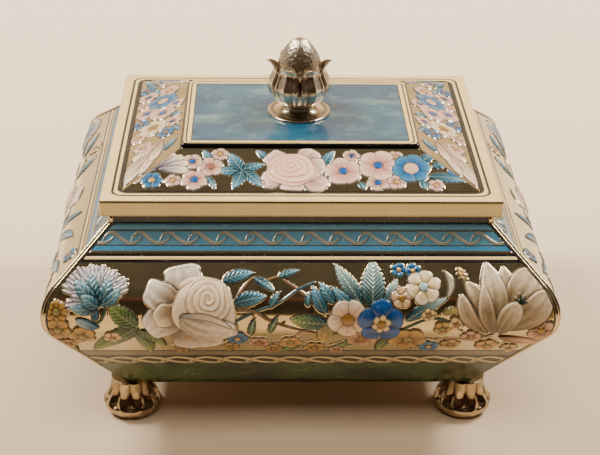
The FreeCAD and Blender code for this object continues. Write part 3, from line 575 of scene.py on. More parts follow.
def paint_side(canvas, face):
    """A short side: a rose between sprays, with open flowers toward the corners."""
    def p(x, y):
        return (x * face, y)
    stem(canvas, [p(-70, 18), p(-48, 30), p(-26, 26), p(-8, 30)], 1.0, thorns=True)
    stem(canvas, [p(10, 26), p(30, 34), p(50, 26), p(70, 22)], 1.0, thorns=True)
    leaves(canvas, (
        (-30, 27, -44, 39, 6), (-22, 27, -26, 41, 5), (18, 30, 24, 42, 6),
        (36, 32, 50, 40, 6), (44, 29, 60, 34, 5), (-52, 28, -66, 34, 5.5)), *BLUE_LEAF, face=face)
    leaves(canvas, (
        (-18, 18, -34, 5, 8.5), (-16, 14, -14, 0.5, 6), (18, 16, 36, 6, 8.5),
        (14, 12, 20, 0.5, 6), (-56, 14, -70, 3, 6), (56, 14, 70, 3, 6)), face=face)
    small_flowers(canvas, [
        (-44, 9, 5.2, "gold"), (-54, 6, 4.0, "cream"), (46, 8, 5.0, "gold"), (57, 7, 4.2, "pink"),
        (-70, 13, 4.4, "gold, pink heart"), (70, 14, 4.4, "gold"), (-60, 40, 3.4, "blue"),
        (34, 40, 3.6, "cream"), (0, 3.6, 3.4, "blue"), (-6, 4.6, 3.0, "gold")], face)
    cornflower(canvas, 62 * face, 27, 0.9, -face)
    petal_ring(canvas, p(-46, 22), 8.2, 5, DEEP_BLUE, GOLD_LIGHT, 2.6, turn=0.3, tip_colour=BRIGHT_BLUE)
    petal_ring(canvas, p(-62, 24), 7.4, 6, CREAM, GOLD, 2.2, turn=0.8, tip_colour=ROSE_WHITE)
    petal_ring(canvas, p(36, 20), 8.0, 6, PALE_PINK, GOLD, 2.4, turn=0.2, tip_colour=ROSE_WHITE)
    white_rose(canvas, 2 * face, 24, 0.95, face, (0.90, 0.80, 0.74), (0.70, 0.52, 0.44))


def paint_rear(canvas):
    """The back: a pair of roses and a cornflower between the same sprays."""
    stem(canvas, [(-84, 18), (-60, 30), (-40, 26), (-18, 34), (0, 28)], 1.0, thorns=True)
    stem(canvas, [(0, 28), (22, 18), (44, 26), (66, 22), (86, 28)], 1.0, thorns=True)
    leaves(canvas, (
        (-64, 30, -78, 41, 6), (-20, 32, -28, 42, 5.5), (-12, 33, -2, 42, 6),
        (14, 25, 26, 38, 6.5), (22, 20, 36, 30, 5.5), (66, 24, 60, 39, 6),
        (74, 26, 86, 38, 6)), *BLUE_LEAF)
    leaves(canvas, (
        (-60, 16, -78, 5, 9), (-54, 12, -50, 0.5, 6), (-18, 16, -30, 4, 8),
        (4, 14, -6, 1, 6.5), (30, 12, 14, 3, 8), (62, 14, 70, 1, 7)))
    small_flowers(canvas, [
        (-88, 15, 4.6, "gold"), (-80, 22, 5.4, "white"),
        (-38, 8, 4.6, "gold"), (-8, 9, 5.0, "pink"),
        (36, 7, 4.8, "gold"), (60, 6, 4.4, "blue"),
        (80, 8, 4.8, "gold, pink heart"), (89, 19, 4.6, "pink"),
        (-14, 40, 3.4, "blue"), (40, 40, 3.4, "cream")])
    petal_ring(canvas, (-10, 22), 8.6, 5, DEEP_BLUE, GOLD_LIGHT, 2.8, turn=0.3, tip_colour=BRIGHT_BLUE)
    petal_ring(canvas, (6, 24), 7.6, 5, PALE_PINK, GOLD, 2.3, turn=0.9, tip_colour=ROSE_WHITE)
    white_rose(canvas, -46, 27, 0.95)
    white_rose(canvas, 48, 25, 0.9, -1, (0.90, 0.78, 0.72), (0.70, 0.50, 0.43))
    cornflower(canvas, 80, 27, 0.8, -1)


def paint_lid_front(canvas, flip=1):
    """The lid's long slopes: a pink rose in the middle, blue leaves and pinks to either side."""
    def p(x, y):
        return (x * flip, y)
    leaves(canvas, (
        (-22.5, 11, -32, 11, 5.5), (-22.5, 11, -27, 20, 6), (-22.5, 11, -14, 14, 5),
        (-22.5, 11, -15, 2.4, 5.5), (-22.5, 11, -26, 1.2, 5), (-36, 8, -32.5, 1.2, 3),
        (8, 13, 13, 21.6, 4.5), (5, 6, 1.5, 0.6, 3.5),
        (46, 15, 52, 20.6, 5), (38, 17, 35, 21.4, 3), (48.5, 8, 63, 5.4, 5.5), (50, 13, 57, 15, 4.5),
        (46, 6, 47, 1.2, 3.5), (-12, 17, -17, 21.8, 3.6), (-33, 15, -37.5, 21.8, 4),
        (22, 5, 24, 1.0, 3)), *BLUE_LEAF, face=flip)
    small_flowers(canvas, [
        (-63, 8.2, 3.8, "rosy"), (-40.5, 6.0, 4.6, "rosy, blue heart"),
        (-34.5, 12.6, 4.4, "rosy, pink heart"), (-31, 19.4, 3.0, "rosy, pale heart"),
        (-41.5, 15.4, 3.6, "rosy, blue heart"),
        (29, 4.6, 3.9, "rosy, blue heart"), (36, 5.0, 3.4, "rosy, pale heart"),
        (19.5, 18.6, 3.0, "rosy, dark heart"), (36.5, 18.0, 3.0, "rosy, pale heart"),
        (-48.5, 5.6, 2.8, "rosy, pale heart"), (-12, 4.2, 2.8, "rosy, pale heart"),
        (51, 3.4, 2.8, "rosy, pale heart")], flip)
    small_flowers(canvas, [(59, 11.0, 3.0, "blue")], flip)
    for k in range(9):
        angle = math.radians(200 - 27 * k)
        tip = p(-54 + 11.5 * math.cos(angle), 13.0 + 8.4 * math.sin(angle))
        blade(canvas, p(-54, 12.0), tip, 4.4, LILAC, ROSE_WHITE, belly=0.7, point=0.35, folds=3, level=0.4)
    petal_ring(canvas, p(-56.5, 5.6), 4.2, 6, BRIGHT_BLUE, GOLD_LIGHT, 1.3, tip_colour=SKY_BLUE)
    petal_ring(canvas, p(16, 10.5), 7.2, 5, DUSTY_PINK, BRIGHT_BLUE, 1.6, turn=0.5, tip_colour=LIGHT_PINK)
    petal_ring(canvas, p(29.5, 13.6), 8.0, 5, DUSTY_PINK, BRIGHT_BLUE, 1.7, turn=1.1, tip_colour=LIGHT_PINK)
    petal_ring(canvas, p(42, 12.0), 7.6, 6, BRIGHT_BLUE, PALE_PINK, 2.9, turn=0.2, tip_colour=SKY_BLUE)
    petals = ((-9.5, 3.0, -14.5, 6.0), (-7.0, 15.5, -12.5, 19.6), (3.0, 17.0, 5.5, 21.6),
              (4.5, 5.0, 9.5, 1.8), (-2.5, 3.0, -3.5, 0.4), (6.0, 12.0, 9.5, 14.0))
    for bx, by, tx, ty in petals:
        start = p(-3.5 + (bx + 3.5) * 0.4, 11 + (by - 11) * 0.4)
        blade(canvas, start, p(tx, ty), 9.5, (0.80, 0.60, 0.52), (0.93, 0.80, 0.74), belly=0.5, point=0.3,
              cup=0.2, wavy=0.05)
    rose_ball(canvas, p(-3.5, 11.0), 10.0, 8.6, p(-5.0, 13.4), (0.92, 0.76, 0.68), (0.66, 0.40, 0.32),
              turns=4.6, turn=1.0, lift=0.9, swirl=flip)


def paint_lid_side(canvas, flip=1):
    """The lid's short slopes: striped petals, a cream flower, blue and pink small flowers."""
    def p(x, y):
        return (x * flip, y)
    leaves(canvas, (
        (24, 14, 33, 19, 5), (26, 10, 37, 8, 5), (-8, 18, -15, 21.6, 3.5),
        (4, 16, 2, 21.8, 4), (40, 8, 50, 2.5, 4.5), (-30, 14, -22, 21, 5)), *BLUE_LEAF, face=flip)
    for tip in ((-50, 1), (-45, 7), (-39, 1), (-50, -4), (-30, 2.5), (-36, 11)):
        blade(canvas, p(-19.5, 15), p(*tip), 5.0, PALE_PINK, ROSE_WHITE, belly=0.8, point=0.45, folds=5,
              level=0.35)
    small_flowers(canvas, [
        (8, 12.9, 5.2, "rosy, blue heart"), (13, 5.5, 5.0, "rosy, blue heart"),
        (-10, 3.4, 3.8, "rosy, pale heart"), (30, 5.0, 4.2, "rosy, dark heart"),
        (-21, 6.5, 3.8, "rosy, pale heart"), (14, 18.4, 3.6, "rosy, blue heart"),
        (30, 14.4, 4.2, "rosy, pale heart"), (-4, 18.0, 3.6, "rosy, dark heart"),
        (22, 3.4, 3.0, "rosy, pale heart")], flip)
    small_flowers(canvas, [(3, 3.6, 3.6, "blue"), (-13, 15.5, 3.6, "blue"), (38, 4.0, 3.6, "blue")], flip)
    petal_ring(canvas, p(-4.5, 9.6), 6.6, 6, CREAM, GOLD, 2.0, tip_colour=ROSE_WHITE)
    petal_ring(canvas, p(20.5, 12.2), 7.0, 6, BRIGHT_BLUE, PALE_PINK, 2.5, turn=0.2, tip_colour=SKY_BLUE)
    fan(canvas, p(42, 9), [p(48, 17), p(51, 13), p(44, 18.5), p(40, 16), p(37, 12)], 3.0, LILAC, ROSE_WHITE)


# ---------------------------------------------------------------- meshes from grids


def to_linear(colour):
    colour = np.clip(colour, 0, 1)
    return np.where(colour <= 0.04045, colour / 12.92, ((colour + 0.055) / 1.055) ** 2.4)


def make_mesh(name, points, loops, sizes, body, materials, kinds=None, smooth_faces=None, paint=None,
              metal=None, replaces=None):
    """A mesh in metres from points in millimetres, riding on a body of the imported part."""
    mesh = bpy.data.meshes.new(name)
    points = np.asarray(points, np.float32) * MM
    loops = np.asarray(loops, np.int32)
    sizes = np.asarray(sizes, np.int32)
    mesh.vertices.add(len(points))
    mesh.vertices.foreach_set("co", points.ravel())
    mesh.loops.add(len(loops))
    mesh.loops.foreach_set("vertex_index", loops)
    mesh.polygons.add(len(sizes))
    starts = np.concatenate(([0], np.cumsum(sizes)[:-1])).astype(np.int32)
    mesh.polygons.foreach_set("loop_start", starts)
    mesh.polygons.foreach_set("loop_total", sizes)
    if kinds is not None:
        mesh.polygons.foreach_set("material_index", np.asarray(kinds, np.int32))
    flags = np.ones(len(sizes), bool) if smooth_faces is None else np.asarray(smooth_faces, bool)
    mesh.polygons.foreach_set("use_smooth", flags)
    if paint is not None:
        attribute = mesh.color_attributes.new(name="Paint", type="FLOAT_COLOR", domain="CORNER")
        rgba = np.ones((len(loops), 4), np.float32)
        rgba[:, :3] = to_linear(paint)
        attribute.data.foreach_set("color", rgba.ravel())
    if metal is not None:
        attribute = mesh.attributes.new(name="Metal", type="FLOAT", domain="CORNER")
        attribute.data.foreach_set("value", np.asarray(metal, np.float32))
    mesh.update(calc_edges=True)
    mesh.validate(clean_customdata=False)
    obj = bpy.data.objects.new(name, mesh)
    bpy.context.scene.collection.objects.link(obj)
    for material in materials:
        mesh.materials.append(material)
    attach(obj, body)
    if replaces:
        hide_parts(replaces)
    return obj


def build_skin(name, strips, place, body, materials):
    """A thin closed shell of print over one face: strips of the face, each with its own crisp edges.

    place(x, y, lift) gives the point in space above a point of the face.
    """
    columns = strips[0].x.shape[1]
    rows_x, rows_y, rows_lift = [], [], []
    for number, strip in enumerate(strips):
        first = 0 if number == 0 else 1
        if number:
            rows_lift[-1] = (rows_lift[-1] + strip.relief[0]) / 2
        for row in range(first, strip.x.shape[0]):
            rows_x.append(strip.x[row])
            rows_y.append(strip.y[row])
            rows_lift.append(strip.relief[row])
    x, y, lift = np.array(rows_x), np.array(rows_y), np.array(rows_lift)
    rows = len(x)
    front = place(x, y, lift + SKIN).reshape(-1, 3)
    ends = place(x[:, [0, -1]], y[:, [0, -1]], np.full((rows, 2), 0.03)).reshape(-1, 3)
    points = np.concatenate((front, ends))
    index = np.arange(rows * columns).reshape(rows, columns)
    back = rows * columns + np.arange(rows * 2).reshape(rows, 2)
    loops, paint, metal, kinds = [], [], [], []
    row = 0
    for strip in strips:
        count = strip.x.shape[0] - 1
        ids = index[row:row + count + 1]
        loops.append(np.stack((ids[:-1, :-1], ids[:-1, 1:], ids[1:, 1:], ids[1:, :-1]), -1).reshape(-1))
        for source, target in ((strip.paint, paint), (strip.metal[..., None], metal)):
            target.append(np.stack((source[:-1, :-1], source[:-1, 1:], source[1:, 1:], source[1:, :-1]), 2)
                          .reshape(-1, source.shape[-1]))
        kinds.append(np.full(count * (columns - 1), strip.kind))
        row += count
    fronts = sum(len(k) for k in kinds)
    low, high = back[:-1], back[1:]
    left = np.stack((index[:-1, 0], index[1:, 0], high[:, 0], low[:, 0]), -1)
    right = np.stack((index[1:, -1], index[:-1, -1], low[:, 1], high[:, 1]), -1)
    behind = np.stack((low[:, 0], high[:, 0], high[:, 1], low[:, 1]), -1)
    bottom = np.concatenate((index[0, ::-1], back[0]))
    top = np.concatenate((index[-1], back[-1, ::-1]))
    rest = np.concatenate((left.ravel(), right.ravel(), behind.ravel(), bottom, top))
    loops = np.concatenate(loops + [rest])
    sizes = np.concatenate((np.full(fronts + 3 * (rows - 1), 4), [len(bottom), len(top)]))
    paint = np.concatenate(paint + [np.tile(np.array(SILVER), (len(rest), 1))])
    metal = np.concatenate([m[:, 0] for m in metal] + [np.ones(len(rest))])
    kinds = np.concatenate(kinds + [np.zeros(3 * (rows - 1) + 2)])
    flags = np.arange(len(sizes)) < fronts
    return make_mesh(name, points, loops, sizes, body, materials, kinds, flags,
                     paint, metal)


def grid_solid(name, points, body, material, paint=None, metal=None, closed=False, caps=False,
               replaces=None):
    """A mesh over rows of points, each row a ring. The last row joins the first, or both ends are capped."""
    rows, columns = points.shape[:2]
    index = np.arange(rows * columns).reshape(rows, columns)
    index = np.concatenate((index, index[:, :1]), 1)
    if closed:
        index = np.concatenate((index, index[:1]), 0)
    quads = np.stack((index[:-1, :-1], index[:-1, 1:], index[1:, 1:], index[1:, :-1]), -1).reshape(-1, 4)
    loops = quads.ravel()
    sizes = np.full(len(quads), 4)
    flags = np.ones(len(quads), bool)
    if caps:
        loops = np.concatenate((loops, index[0, :columns][::-1], index[-1, :columns]))
        sizes = np.concatenate((sizes, [columns, columns]))
        flags = np.concatenate((flags, [False, False]))
    corner_paint = None if paint is None else paint.reshape(-1, 3)[loops]
    corner_metal = None if metal is None else metal.reshape(-1)[loops]
    return make_mesh(name, points.reshape(-1, 3), loops, sizes, body, [material], None, flags,
                     corner_paint, corner_metal, replaces)


# ---------------------------------------------------------------- materials


class Nodes:
    """A short way to write a node tree."""

    def __init__(self, tree):
        self.tree = tree

    def add(self, kind, **settings):
        node = self.tree.nodes.new(kind)
        for key, value in settings.items():
            setattr(node, key, value)
        return node

    def link(self, source, target):
        self.tree.links.new(source, target)

    def span(self, source, low, high, to_low, to_high):
        node = self.add("ShaderNodeMapRange")
        node.clamp = True
        for key, value in (("From Min", low), ("From Max", high), ("To Min", to_low), ("To Max", to_high)):
            node.inputs[key].default_value = value
        self.link(source, node.inputs["Value"])
        return node.outputs["Result"]

    def blend(self, amount, first, second, mode="MIX"):
        """Mixes sockets, numbers or colours. Three numbers are a display colour, and four a linear one."""
        node = self.add("ShaderNodeMix", data_type="RGBA", blend_type=mode)
        for key, value in ((0, amount), (6, first), (7, second)):
            if isinstance(value, (int, float)):
                node.inputs[key].default_value = value
            elif isinstance(value, tuple):
                shown = value if len(value) == 4 else tuple(map(float, to_linear(np.array(value)))) + (1.0,)
                node.inputs[key].default_value = shown
            else:
                self.link(value, node.inputs[key])
        return node.outputs[2]

    def attribute(self, name):
        return self.add("ShaderNodeAttribute", attribute_name=name)

    def math(self, operation, first, second):
        node = self.add("ShaderNodeMath", operation=operation)
        for key, value in ((0, first), (1, second)):
            if isinstance(value, (int, float)):
                node.inputs[key].default_value = value
            else:
                self.link(value, node.inputs[key])
        return node.outputs[0]


class Surface(Nodes):
    """The node tree of one new material."""

    def __init__(self, name):
        self.material = bpy.data.materials.new(name)
        self.material.use_nodes = True
        super().__init__(self.material.node_tree)
        self.shader = self.tree.nodes["Principled BSDF"]
        self.place = self.add("ShaderNodeTexCoord").outputs["Object"]

    def noise(self, scale, detail=4.0, roughness=0.55, stretch=None):
        node = self.add("ShaderNodeTexNoise")
        node.inputs["Scale"].default_value = scale
        node.inputs["Detail"].default_value = detail
        node.inputs["Roughness"].default_value = roughness
        source = self.place
        if stretch:
            mapping = self.add("ShaderNodeMapping")
            mapping.inputs["Scale"].default_value = stretch
            self.link(self.place, mapping.inputs["Vector"])
            source = mapping.outputs["Vector"]
        self.link(source, node.inputs["Vector"])
        return node.outputs["Fac"]

    def bump(self, source, distance, strength=0.4):
        node = self.add("ShaderNodeBump")
        node.inputs["Strength"].default_value = strength
        node.inputs["Distance"].default_value = distance
        self.link(source, node.inputs["Height"])
        self.link(node.outputs["Normal"], self.shader.inputs["Normal"])

    def set(self, key, value):
        self.shader.inputs[key].default_value = value

    def drive(self, key, source):
        self.link(source, self.shader.inputs[key])


def printed_tin():
    """Lacquered print where there is paint, satin golden tinplate where there is none."""
    n = Surface("printed tin")
    paint = n.attribute("Paint").outputs["Color"]
    metal = n.attribute("Metal").outputs["Fac"]
    cloud = n.noise(55, 4)
    grain = n.noise(900, 3)
    ink = n.blend(n.span(cloud, 0.3, 0.7, 0.0, 0.22), paint, (0.62, 0.52, 0.36), "MULTIPLY")
    ink = n.blend(n.span(grain, 0.62, 0.80, 0.0, 0.25), ink, (0.93, 0.90, 0.80))
    tin = n.blend(n.span(cloud, 0.3, 0.7, 0.0, 1.0), (0.84, 0.78, 0.60), (0.74, 0.67, 0.50))
    scratch = n.span(n.noise(60, 6, 0.75, (1.0, 1.0, 22.0)), 0.60, 0.72, 0.0, 0.5)
    tin = n.blend(scratch, tin, (0.62, 0.55, 0.42))
    n.drive("Base Color", n.blend(n.span(metal, 0.80, 1.0, 0.0, 1.0), ink, tin))
    n.drive("Metallic", n.math("MULTIPLY", metal, 0.97))
    rough_ink = n.span(cloud, 0.3, 0.7, 0.26, 0.40)
    rough_tin = n.math("ADD", n.span(grain, 0.3, 0.7, 0.11, 0.17), n.math("MULTIPLY", scratch, 0.15))
    rough = n.add("ShaderNodeMix", data_type="FLOAT")
    n.link(metal, rough.inputs[0])
    n.link(rough_ink, rough.inputs[2])
    n.link(rough_tin, rough.inputs[3])
    n.drive("Roughness", rough.outputs[0])
    n.set("Coat Weight", 0.35)
    n.set("Coat Roughness", 0.12)
    n.set("IOR", 1.5)
    n.bump(n.noise(420, 4), 0.00006, 0.25)
    return n.material


def marbled_green():
    """The mottled green lower band."""
    n = Surface("marbled green print")
    broad = n.noise(34, 5, 0.6, (1.0, 1.0, 1.6))
    fine = n.noise(120, 4, 0.6)
    colour = n.blend(n.span(broad, 0.38, 0.64, 0.0, 1.0), (0.03, 0.055, 0.035), (0.25, 0.35, 0.20))
    colour = n.blend(n.span(fine, 0.50, 0.76, 0.0, 0.5), colour, (0.38, 0.42, 0.25))
    colour = n.blend(n.span(n.noise(900, 2), 0.66, 0.8, 0.0, 0.25), colour, (0.66, 0.64, 0.46))
    n.drive("Base Color", colour)
    n.drive("Roughness", n.span(fine, 0.3, 0.7, 0.16, 0.30))
    n.set("Coat Weight", 0.3)
    n.set("Coat Roughness", 0.12)
    n.bump(n.noise(300, 4), 0.00008, 0.3)
    return n.material


def table_print():
    """The lid's table: cloudy blue inside painted lines."""
    n = Surface("clouded blue print")
    paint = n.attribute("Paint").outputs["Color"]
    field = n.attribute("Metal").outputs["Fac"]
    broad = n.noise(20, 4, 0.55, (1.0, 2.4, 1.0))
    fine = n.noise(120, 5, 0.65)
    colour = n.blend(n.span(broad, 0.36, 0.62, 0.0, 1.0), (0.03, 0.20, 0.32), (0.14, 0.34, 0.43))
    streak = n.span(n.noise(26, 3, 0.5, (1.0, 2.8, 1.0)), 0.54, 0.72, 0.0, 0.5)
    colour = n.blend(streak, colour, (0.56, 0.64, 0.60))
    colour = n.blend(n.span(fine, 0.52, 0.72, 0.0, 0.22), colour, (0.62, 0.72, 0.70))
    ink = n.blend(n.span(n.noise(55, 4), 0.3, 0.7, 0.0, 0.2), paint, (0.62, 0.52, 0.36), "MULTIPLY")
    colour = n.blend(field, ink, colour)
    wear = n.span(n.noise(700, 4, 0.7), 0.68, 0.80, 0.0, 0.4)
    n.drive("Base Color", n.blend(wear, colour, (0.80, 0.76, 0.66)))
    n.drive("Roughness", n.span(fine, 0.3, 0.7, 0.14, 0.26))
    n.set("Coat Weight", 0.3)
    n.set("Coat Roughness", 0.08)
    n.bump(n.noise(200, 4), 0.00006, 0.25)
    return n.material


def bare_tin():
    """Plain lacquered tinplate of the inside, the seams and the base."""
    n = Surface("bare tinplate")
    cloud = n.noise(28, 6, 0.6)
    brushed = n.noise(300, 4, 0.6, (1.0, 14.0, 14.0))
    colour = n.blend(n.span(cloud, 0.35, 0.7, 0.0, 1.0), (0.80, 0.76, 0.68), (0.62, 0.55, 0.43))
    stain = n.span(n.noise(90, 6, 0.75), 0.60, 0.72, 0.0, 0.55)
    n.drive("Base Color", n.blend(stain, colour, (0.38, 0.27, 0.17)))
    n.set("Metallic", 0.94)
    rough = n.span(brushed, 0.3, 0.7, 0.24, 0.36)
    n.drive("Roughness", n.math("ADD", rough, n.math("MULTIPLY", stain, 0.25)))
    n.bump(brushed, 0.00005, 0.3)
    return n.material


def casting(name, bright, dull, smoothest, roughest):
    """Plated casting, bright where rubbed, brown where marked: tarnish in hollows, painted shade where parts
    meet.
    """
    n = Surface(name)
    # The Metal attribute here carries the darkening: tarnish in hollows, and painted shade in hollows, where
    # parts meet and on faces turned inward.
    hollow = n.attribute("Metal").outputs["Fac"]
    cloud = n.noise(160, 4)
    colour = n.blend(n.span(cloud, 0.3, 0.7, 0.0, 1.0), bright, dull)
    grime_and_shade = n.math("MULTIPLY", hollow, n.span(cloud, 0.25, 0.6, 0.75, 1.0))
    n.drive("Base Color", n.blend(grime_and_shade, colour, (0.34, 0.27, 0.18)))
    n.set("Metallic", 1.0)
    rough = n.span(cloud, 0.3, 0.7, smoothest, roughest)
    n.drive("Roughness", n.math("ADD", rough, n.math("MULTIPLY", grime_and_shade, 0.2)))
    n.bump(n.noise(1500, 3), 0.00008, 0.35)
    return n.material


def zinc():
    """Plated steel of the screws, washers, rivets and hinge pin."""
    n = Surface("zinc plated steel")
    cloud = n.noise(240, 4)
    n.drive("Base Color", n.blend(n.span(cloud, 0.3, 0.7, 0.0, 1.0), (0.80, 0.80, 0.78), (0.66, 0.65, 0.60)))
    n.set("Metallic", 1.0)
    n.drive("Roughness", n.span(cloud, 0.3, 0.7, 0.22, 0.38))
    n.bump(n.noise(900, 3), 0.00005, 0.3)
    return n.material


PRINT = printed_tin()
GREEN = marbled_green()
TABLE = table_print()
TIN = bare_tin()
# The feet: the silvered casting made darker and browner, partly its own golden tone, partly painted shade
# and painted dark reflections for feet under the tin.
SHADED_FOOT_CASTING = casting("golden shaded casting", (0.80, 0.72, 0.58), (0.60, 0.52, 0.39), 0.12, 0.20)
CASTING = casting("silvered casting", (0.93, 0.88, 0.80), (0.84, 0.77, 0.64), 0.14, 0.22)
SATIN_CASTING = casting("satin casting", (0.95, 0.90, 0.82), (0.84, 0.76, 0.64), 0.26, 0.36)
ZINC = zinc()

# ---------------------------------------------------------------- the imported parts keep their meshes
for node_name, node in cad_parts.items():
    steel = "rivet" in node_name or "screw" in node_name or "washer" in node_name or "pin" in node_name
    finish = ZINC if steel else TIN
    for number in range(len(node.data.materials)):
        node.data.materials[number] = finish

# ---------------------------------------------------------------- printed sides


def s_strokes(canvas, low, high, pitch, shape, width, colour, metal):
    """A row of overlapping S strokes. The shape is in pitches along and half heights across."""
    middle, half = (low + high) / 2, (high - low) / 2
    reach = float(np.abs(canvas.x).max())
    for number in range(int(-reach / pitch) - 3, int(reach / pitch) + 2):
        points = [((number + px) * pitch, middle + py * half) for px, py in shape]
        stem(canvas, points, width, colour, lift=0.34, level=0.05, taper=0.62, metal=metal)
        stem(canvas, points, width * 0.22, np.array(colour) * 0.45, lift=0.0, level=0.22, metal=metal)


def braid(canvas, low, high):
    """Long cream strands that cross, over dark green."""
    canvas.paint[:] = DARK_GREEN
    canvas.metal[:] = 0
    shape = ((0.0, -0.72), (0.28, 0.20), (0.66, 0.66), (1.1, 0.36), (1.62, -0.42), (2.05, -0.66),
             (2.36, -0.30))
    s_strokes(canvas, low, high, 11.0, shape, 1.75, (0.96, 0.88, 0.68), 0.0)


def running_wave(canvas, low, high):
    """Overlapping silver S curves over steel blue."""
    canvas.paint[:] = STEEL_BLUE
    canvas.metal[:] = 0
    shape = ((0.0, -0.50), (0.11, 0.42), (0.28, 0.76), (0.43, 0.58), (0.64, -0.12), (0.88, -0.74),
             (1.04, -0.80), (1.24, -0.42), (1.37, 0.14))
    s_strokes(canvas, low, high, 10.6, shape, 1.25, (0.80, 0.77, 0.68), 0.55)


SIDE_STRIPS = (
    # lowest height, highest height, what it is
    (16.8, 33.0, "green"), (33.0, 39.5, "braid"), (39.5, 40.0, BLACK), (40.0, 43.2, OCHRE),
    (43.2, FLORAL_LOW_Z, BLACK), (FLORAL_LOW_Z, FLORAL_HIGH_Z, "floral"), (FLORAL_HIGH_Z, 81.8, BLACK),
    (81.8, 82.6, CREAM), (82.6, 83.25, BLACK), (83.25, 84.1, "silver"), (84.1, 85.3, SOLID_BLUE),
    (85.3, 85.6, "silver"), (85.6, 89.2, "wave"), (89.2, 89.6, "silver"), (89.6, 91.3, GREY_BLUE))
# The neck under the lid is painted darker than its own blue-grey: the lower strip partly as painted shade,
# the upper strip near black as painted shadow of the lid.
NECK_STRIPS = ((91.3, 94.0, (0.08, 0.15, 0.18)), (94.0, NECK_TOP_Z, LID_SHADOW_SLATE))
STRIP_STEPS = {"floral": FINE, "braid": 0.30, "wave": 0.26, "green": 4.0}
NECK_STEP = 2.0


def bead(canvas):
    """Raises a plain strip to a soft half round."""
    y = canvas.y[:, 0]
    across = (y - y[0]) / (y[-1] - y[0])
    canvas.relief += (0.22 * np.sin(across * math.pi))[:, None]


def side_canvases(half, paint_floral, relief, with_neck):
    """Every strip of one side, bottom to top, sharing the same columns.

    A black line and a rolled silver edge run up the side by each corner.
    """
    columns = int(2 * (half + 20) / FINE)
    u = np.linspace(-1, 1, columns)
    strips = []
    for low_z, high_z, kind in SIDE_STRIPS + (NECK_STRIPS if with_neck else ()):
        low, high = along_at(low_z), along_at(high_z)
        step = NECK_STEP if low_z > NECK_FOOT_Z else STRIP_STEPS.get(kind, 0.35)
        rows = max(2, int(round((high - low) / step)) + 1)
        y = np.linspace(low, high, rows)
        reach = side_section(y)[0]
        edge = half + reach - 0.30
        x = u[None, :] * edge[:, None]
        canvas = Canvas(x, y[:, None] - FLORAL_START)
        canvas.kind = 1 if kind == "green" else 0
        low, high = low - FLORAL_START, high - FLORAL_START
        if kind == "floral":
            paint_floral(canvas)
            canvas.relief *= relief
        elif kind == "braid":
            braid(canvas, low, high)
        elif kind == "wave":
            running_wave(canvas, low, high)
        elif kind == "silver":
            bead(canvas)
        elif kind != "green":
            canvas.paint[:] = kind
            canvas.metal[:] = 0
            if kind == CREAM:
                bead(canvas)
        if low_z < NECK_FOOT_Z and kind != "green":
            inboard = edge[:, None] - np.abs(x)
            everywhere = (slice(None), slice(None))
            canvas.stamp(everywhere, cover(0.34 - np.abs(inboard - 1.75), 0.2), np.array(BLACK), 0.0)
            rounded = 0.45 * np.sqrt(np.clip(1 - ((inboard - 0.7) / 0.7) ** 2, 0, 1))
            canvas.stamp(everywhere, cover(1.35 - inboard, 0.2), np.array(SILVER), rounded, metal=1.0)
        strips.append(canvas)
    return strips


def turner(side, half):
    """Turns a face's own (x, distance up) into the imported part's axes. Sides go round from the front."""
    def place(x, y, lift):
        reach, height, out_e, out_z = side_section(y + FLORAL_START)
        out = half + reach + out_e * lift
        z = height + out_z * lift
        return turn_round(side, x, out, z)
    return place


def turn_round(side, x, out, z):
    """A point of one side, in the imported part's axes."""
    if side == "front":
        return np.stack((x, -out, z), -1)
    if side == "right":
        return np.stack((out, x, z), -1)
    if side == "rear":
        return np.stack((-x, out, z), -1)
    return np.stack((-out, -x, z), -1)


SIDES = (
    # name, half its length, half the depth to it, what is painted on it, strength of the relief, neck shows
    ("front", HALF_X, HALF_Y, paint_front, 1.3, True),
    ("right", HALF_Y, HALF_X, lambda canvas: paint_side(canvas, 1), 0.6, True),
    ("rear", HALF_X, HALF_Y, paint_rear, 1.2, False),
    ("left", HALF_Y, HALF_X, lambda canvas: paint_side(canvas, -1), 0.6, True))
for side, along_half, out_half, paint_floral, relief, with_neck in SIDES:
    strips = side_canvases(along_half, paint_floral, relief, with_neck)
    build_skin(side + "_print", strips, turner(side, out_half), "casket", [PRINT, GREEN])

# ---------------------------------------------------------------- printed lid
slope_run = SLOPE_INSET - RIM_WIDTH
slope_rise = SLOPE_Z - RIM_Z
SLOPE_LENGTH = math.hypot(slope_run, slope_rise)


def slope_turner(side, half):
    """Turns a lid slope's own (x, distance up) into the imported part's axes."""
    def place(x, y, lift):
        out = half - RIM_WIDTH - slope_run * y / SLOPE_LENGTH + slope_rise / SLOPE_LENGTH * lift
        z = RIM_Z + slope_rise * y / SLOPE_LENGTH + slope_run / SLOPE_LENGTH * lift
        return turn_round(side, x, out, z)
    return place


def slope_canvas(half, paint_floral):
    """One mitred slope of the lid, its relief dying away at the edges."""
    y = np.linspace(0.25, SLOPE_LENGTH - 0.05, int(SLOPE_LENGTH / SLOPE_FINE))
    edge = half - RIM_WIDTH - slope_run * y / SLOPE_LENGTH - 0.05
    u = np.linspace(-1, 1, int(2 * edge.max() / SLOPE_FINE))
    x = u[None, :] * edge[:, None]
    canvas = Canvas(x, y[:, None], (0.70, 0.66, 0.62), 1.0)
    canvas.kind = 0
    paint_floral(canvas)
    hip = smooth((edge[:, None] - np.abs(x)) / 1.2)
    foot = smooth((canvas.y - 0.2) / 0.9) * smooth((SLOPE_LENGTH - canvas.y) / 0.9)
    canvas.relief *= hip * foot * 0.5
    return canvas


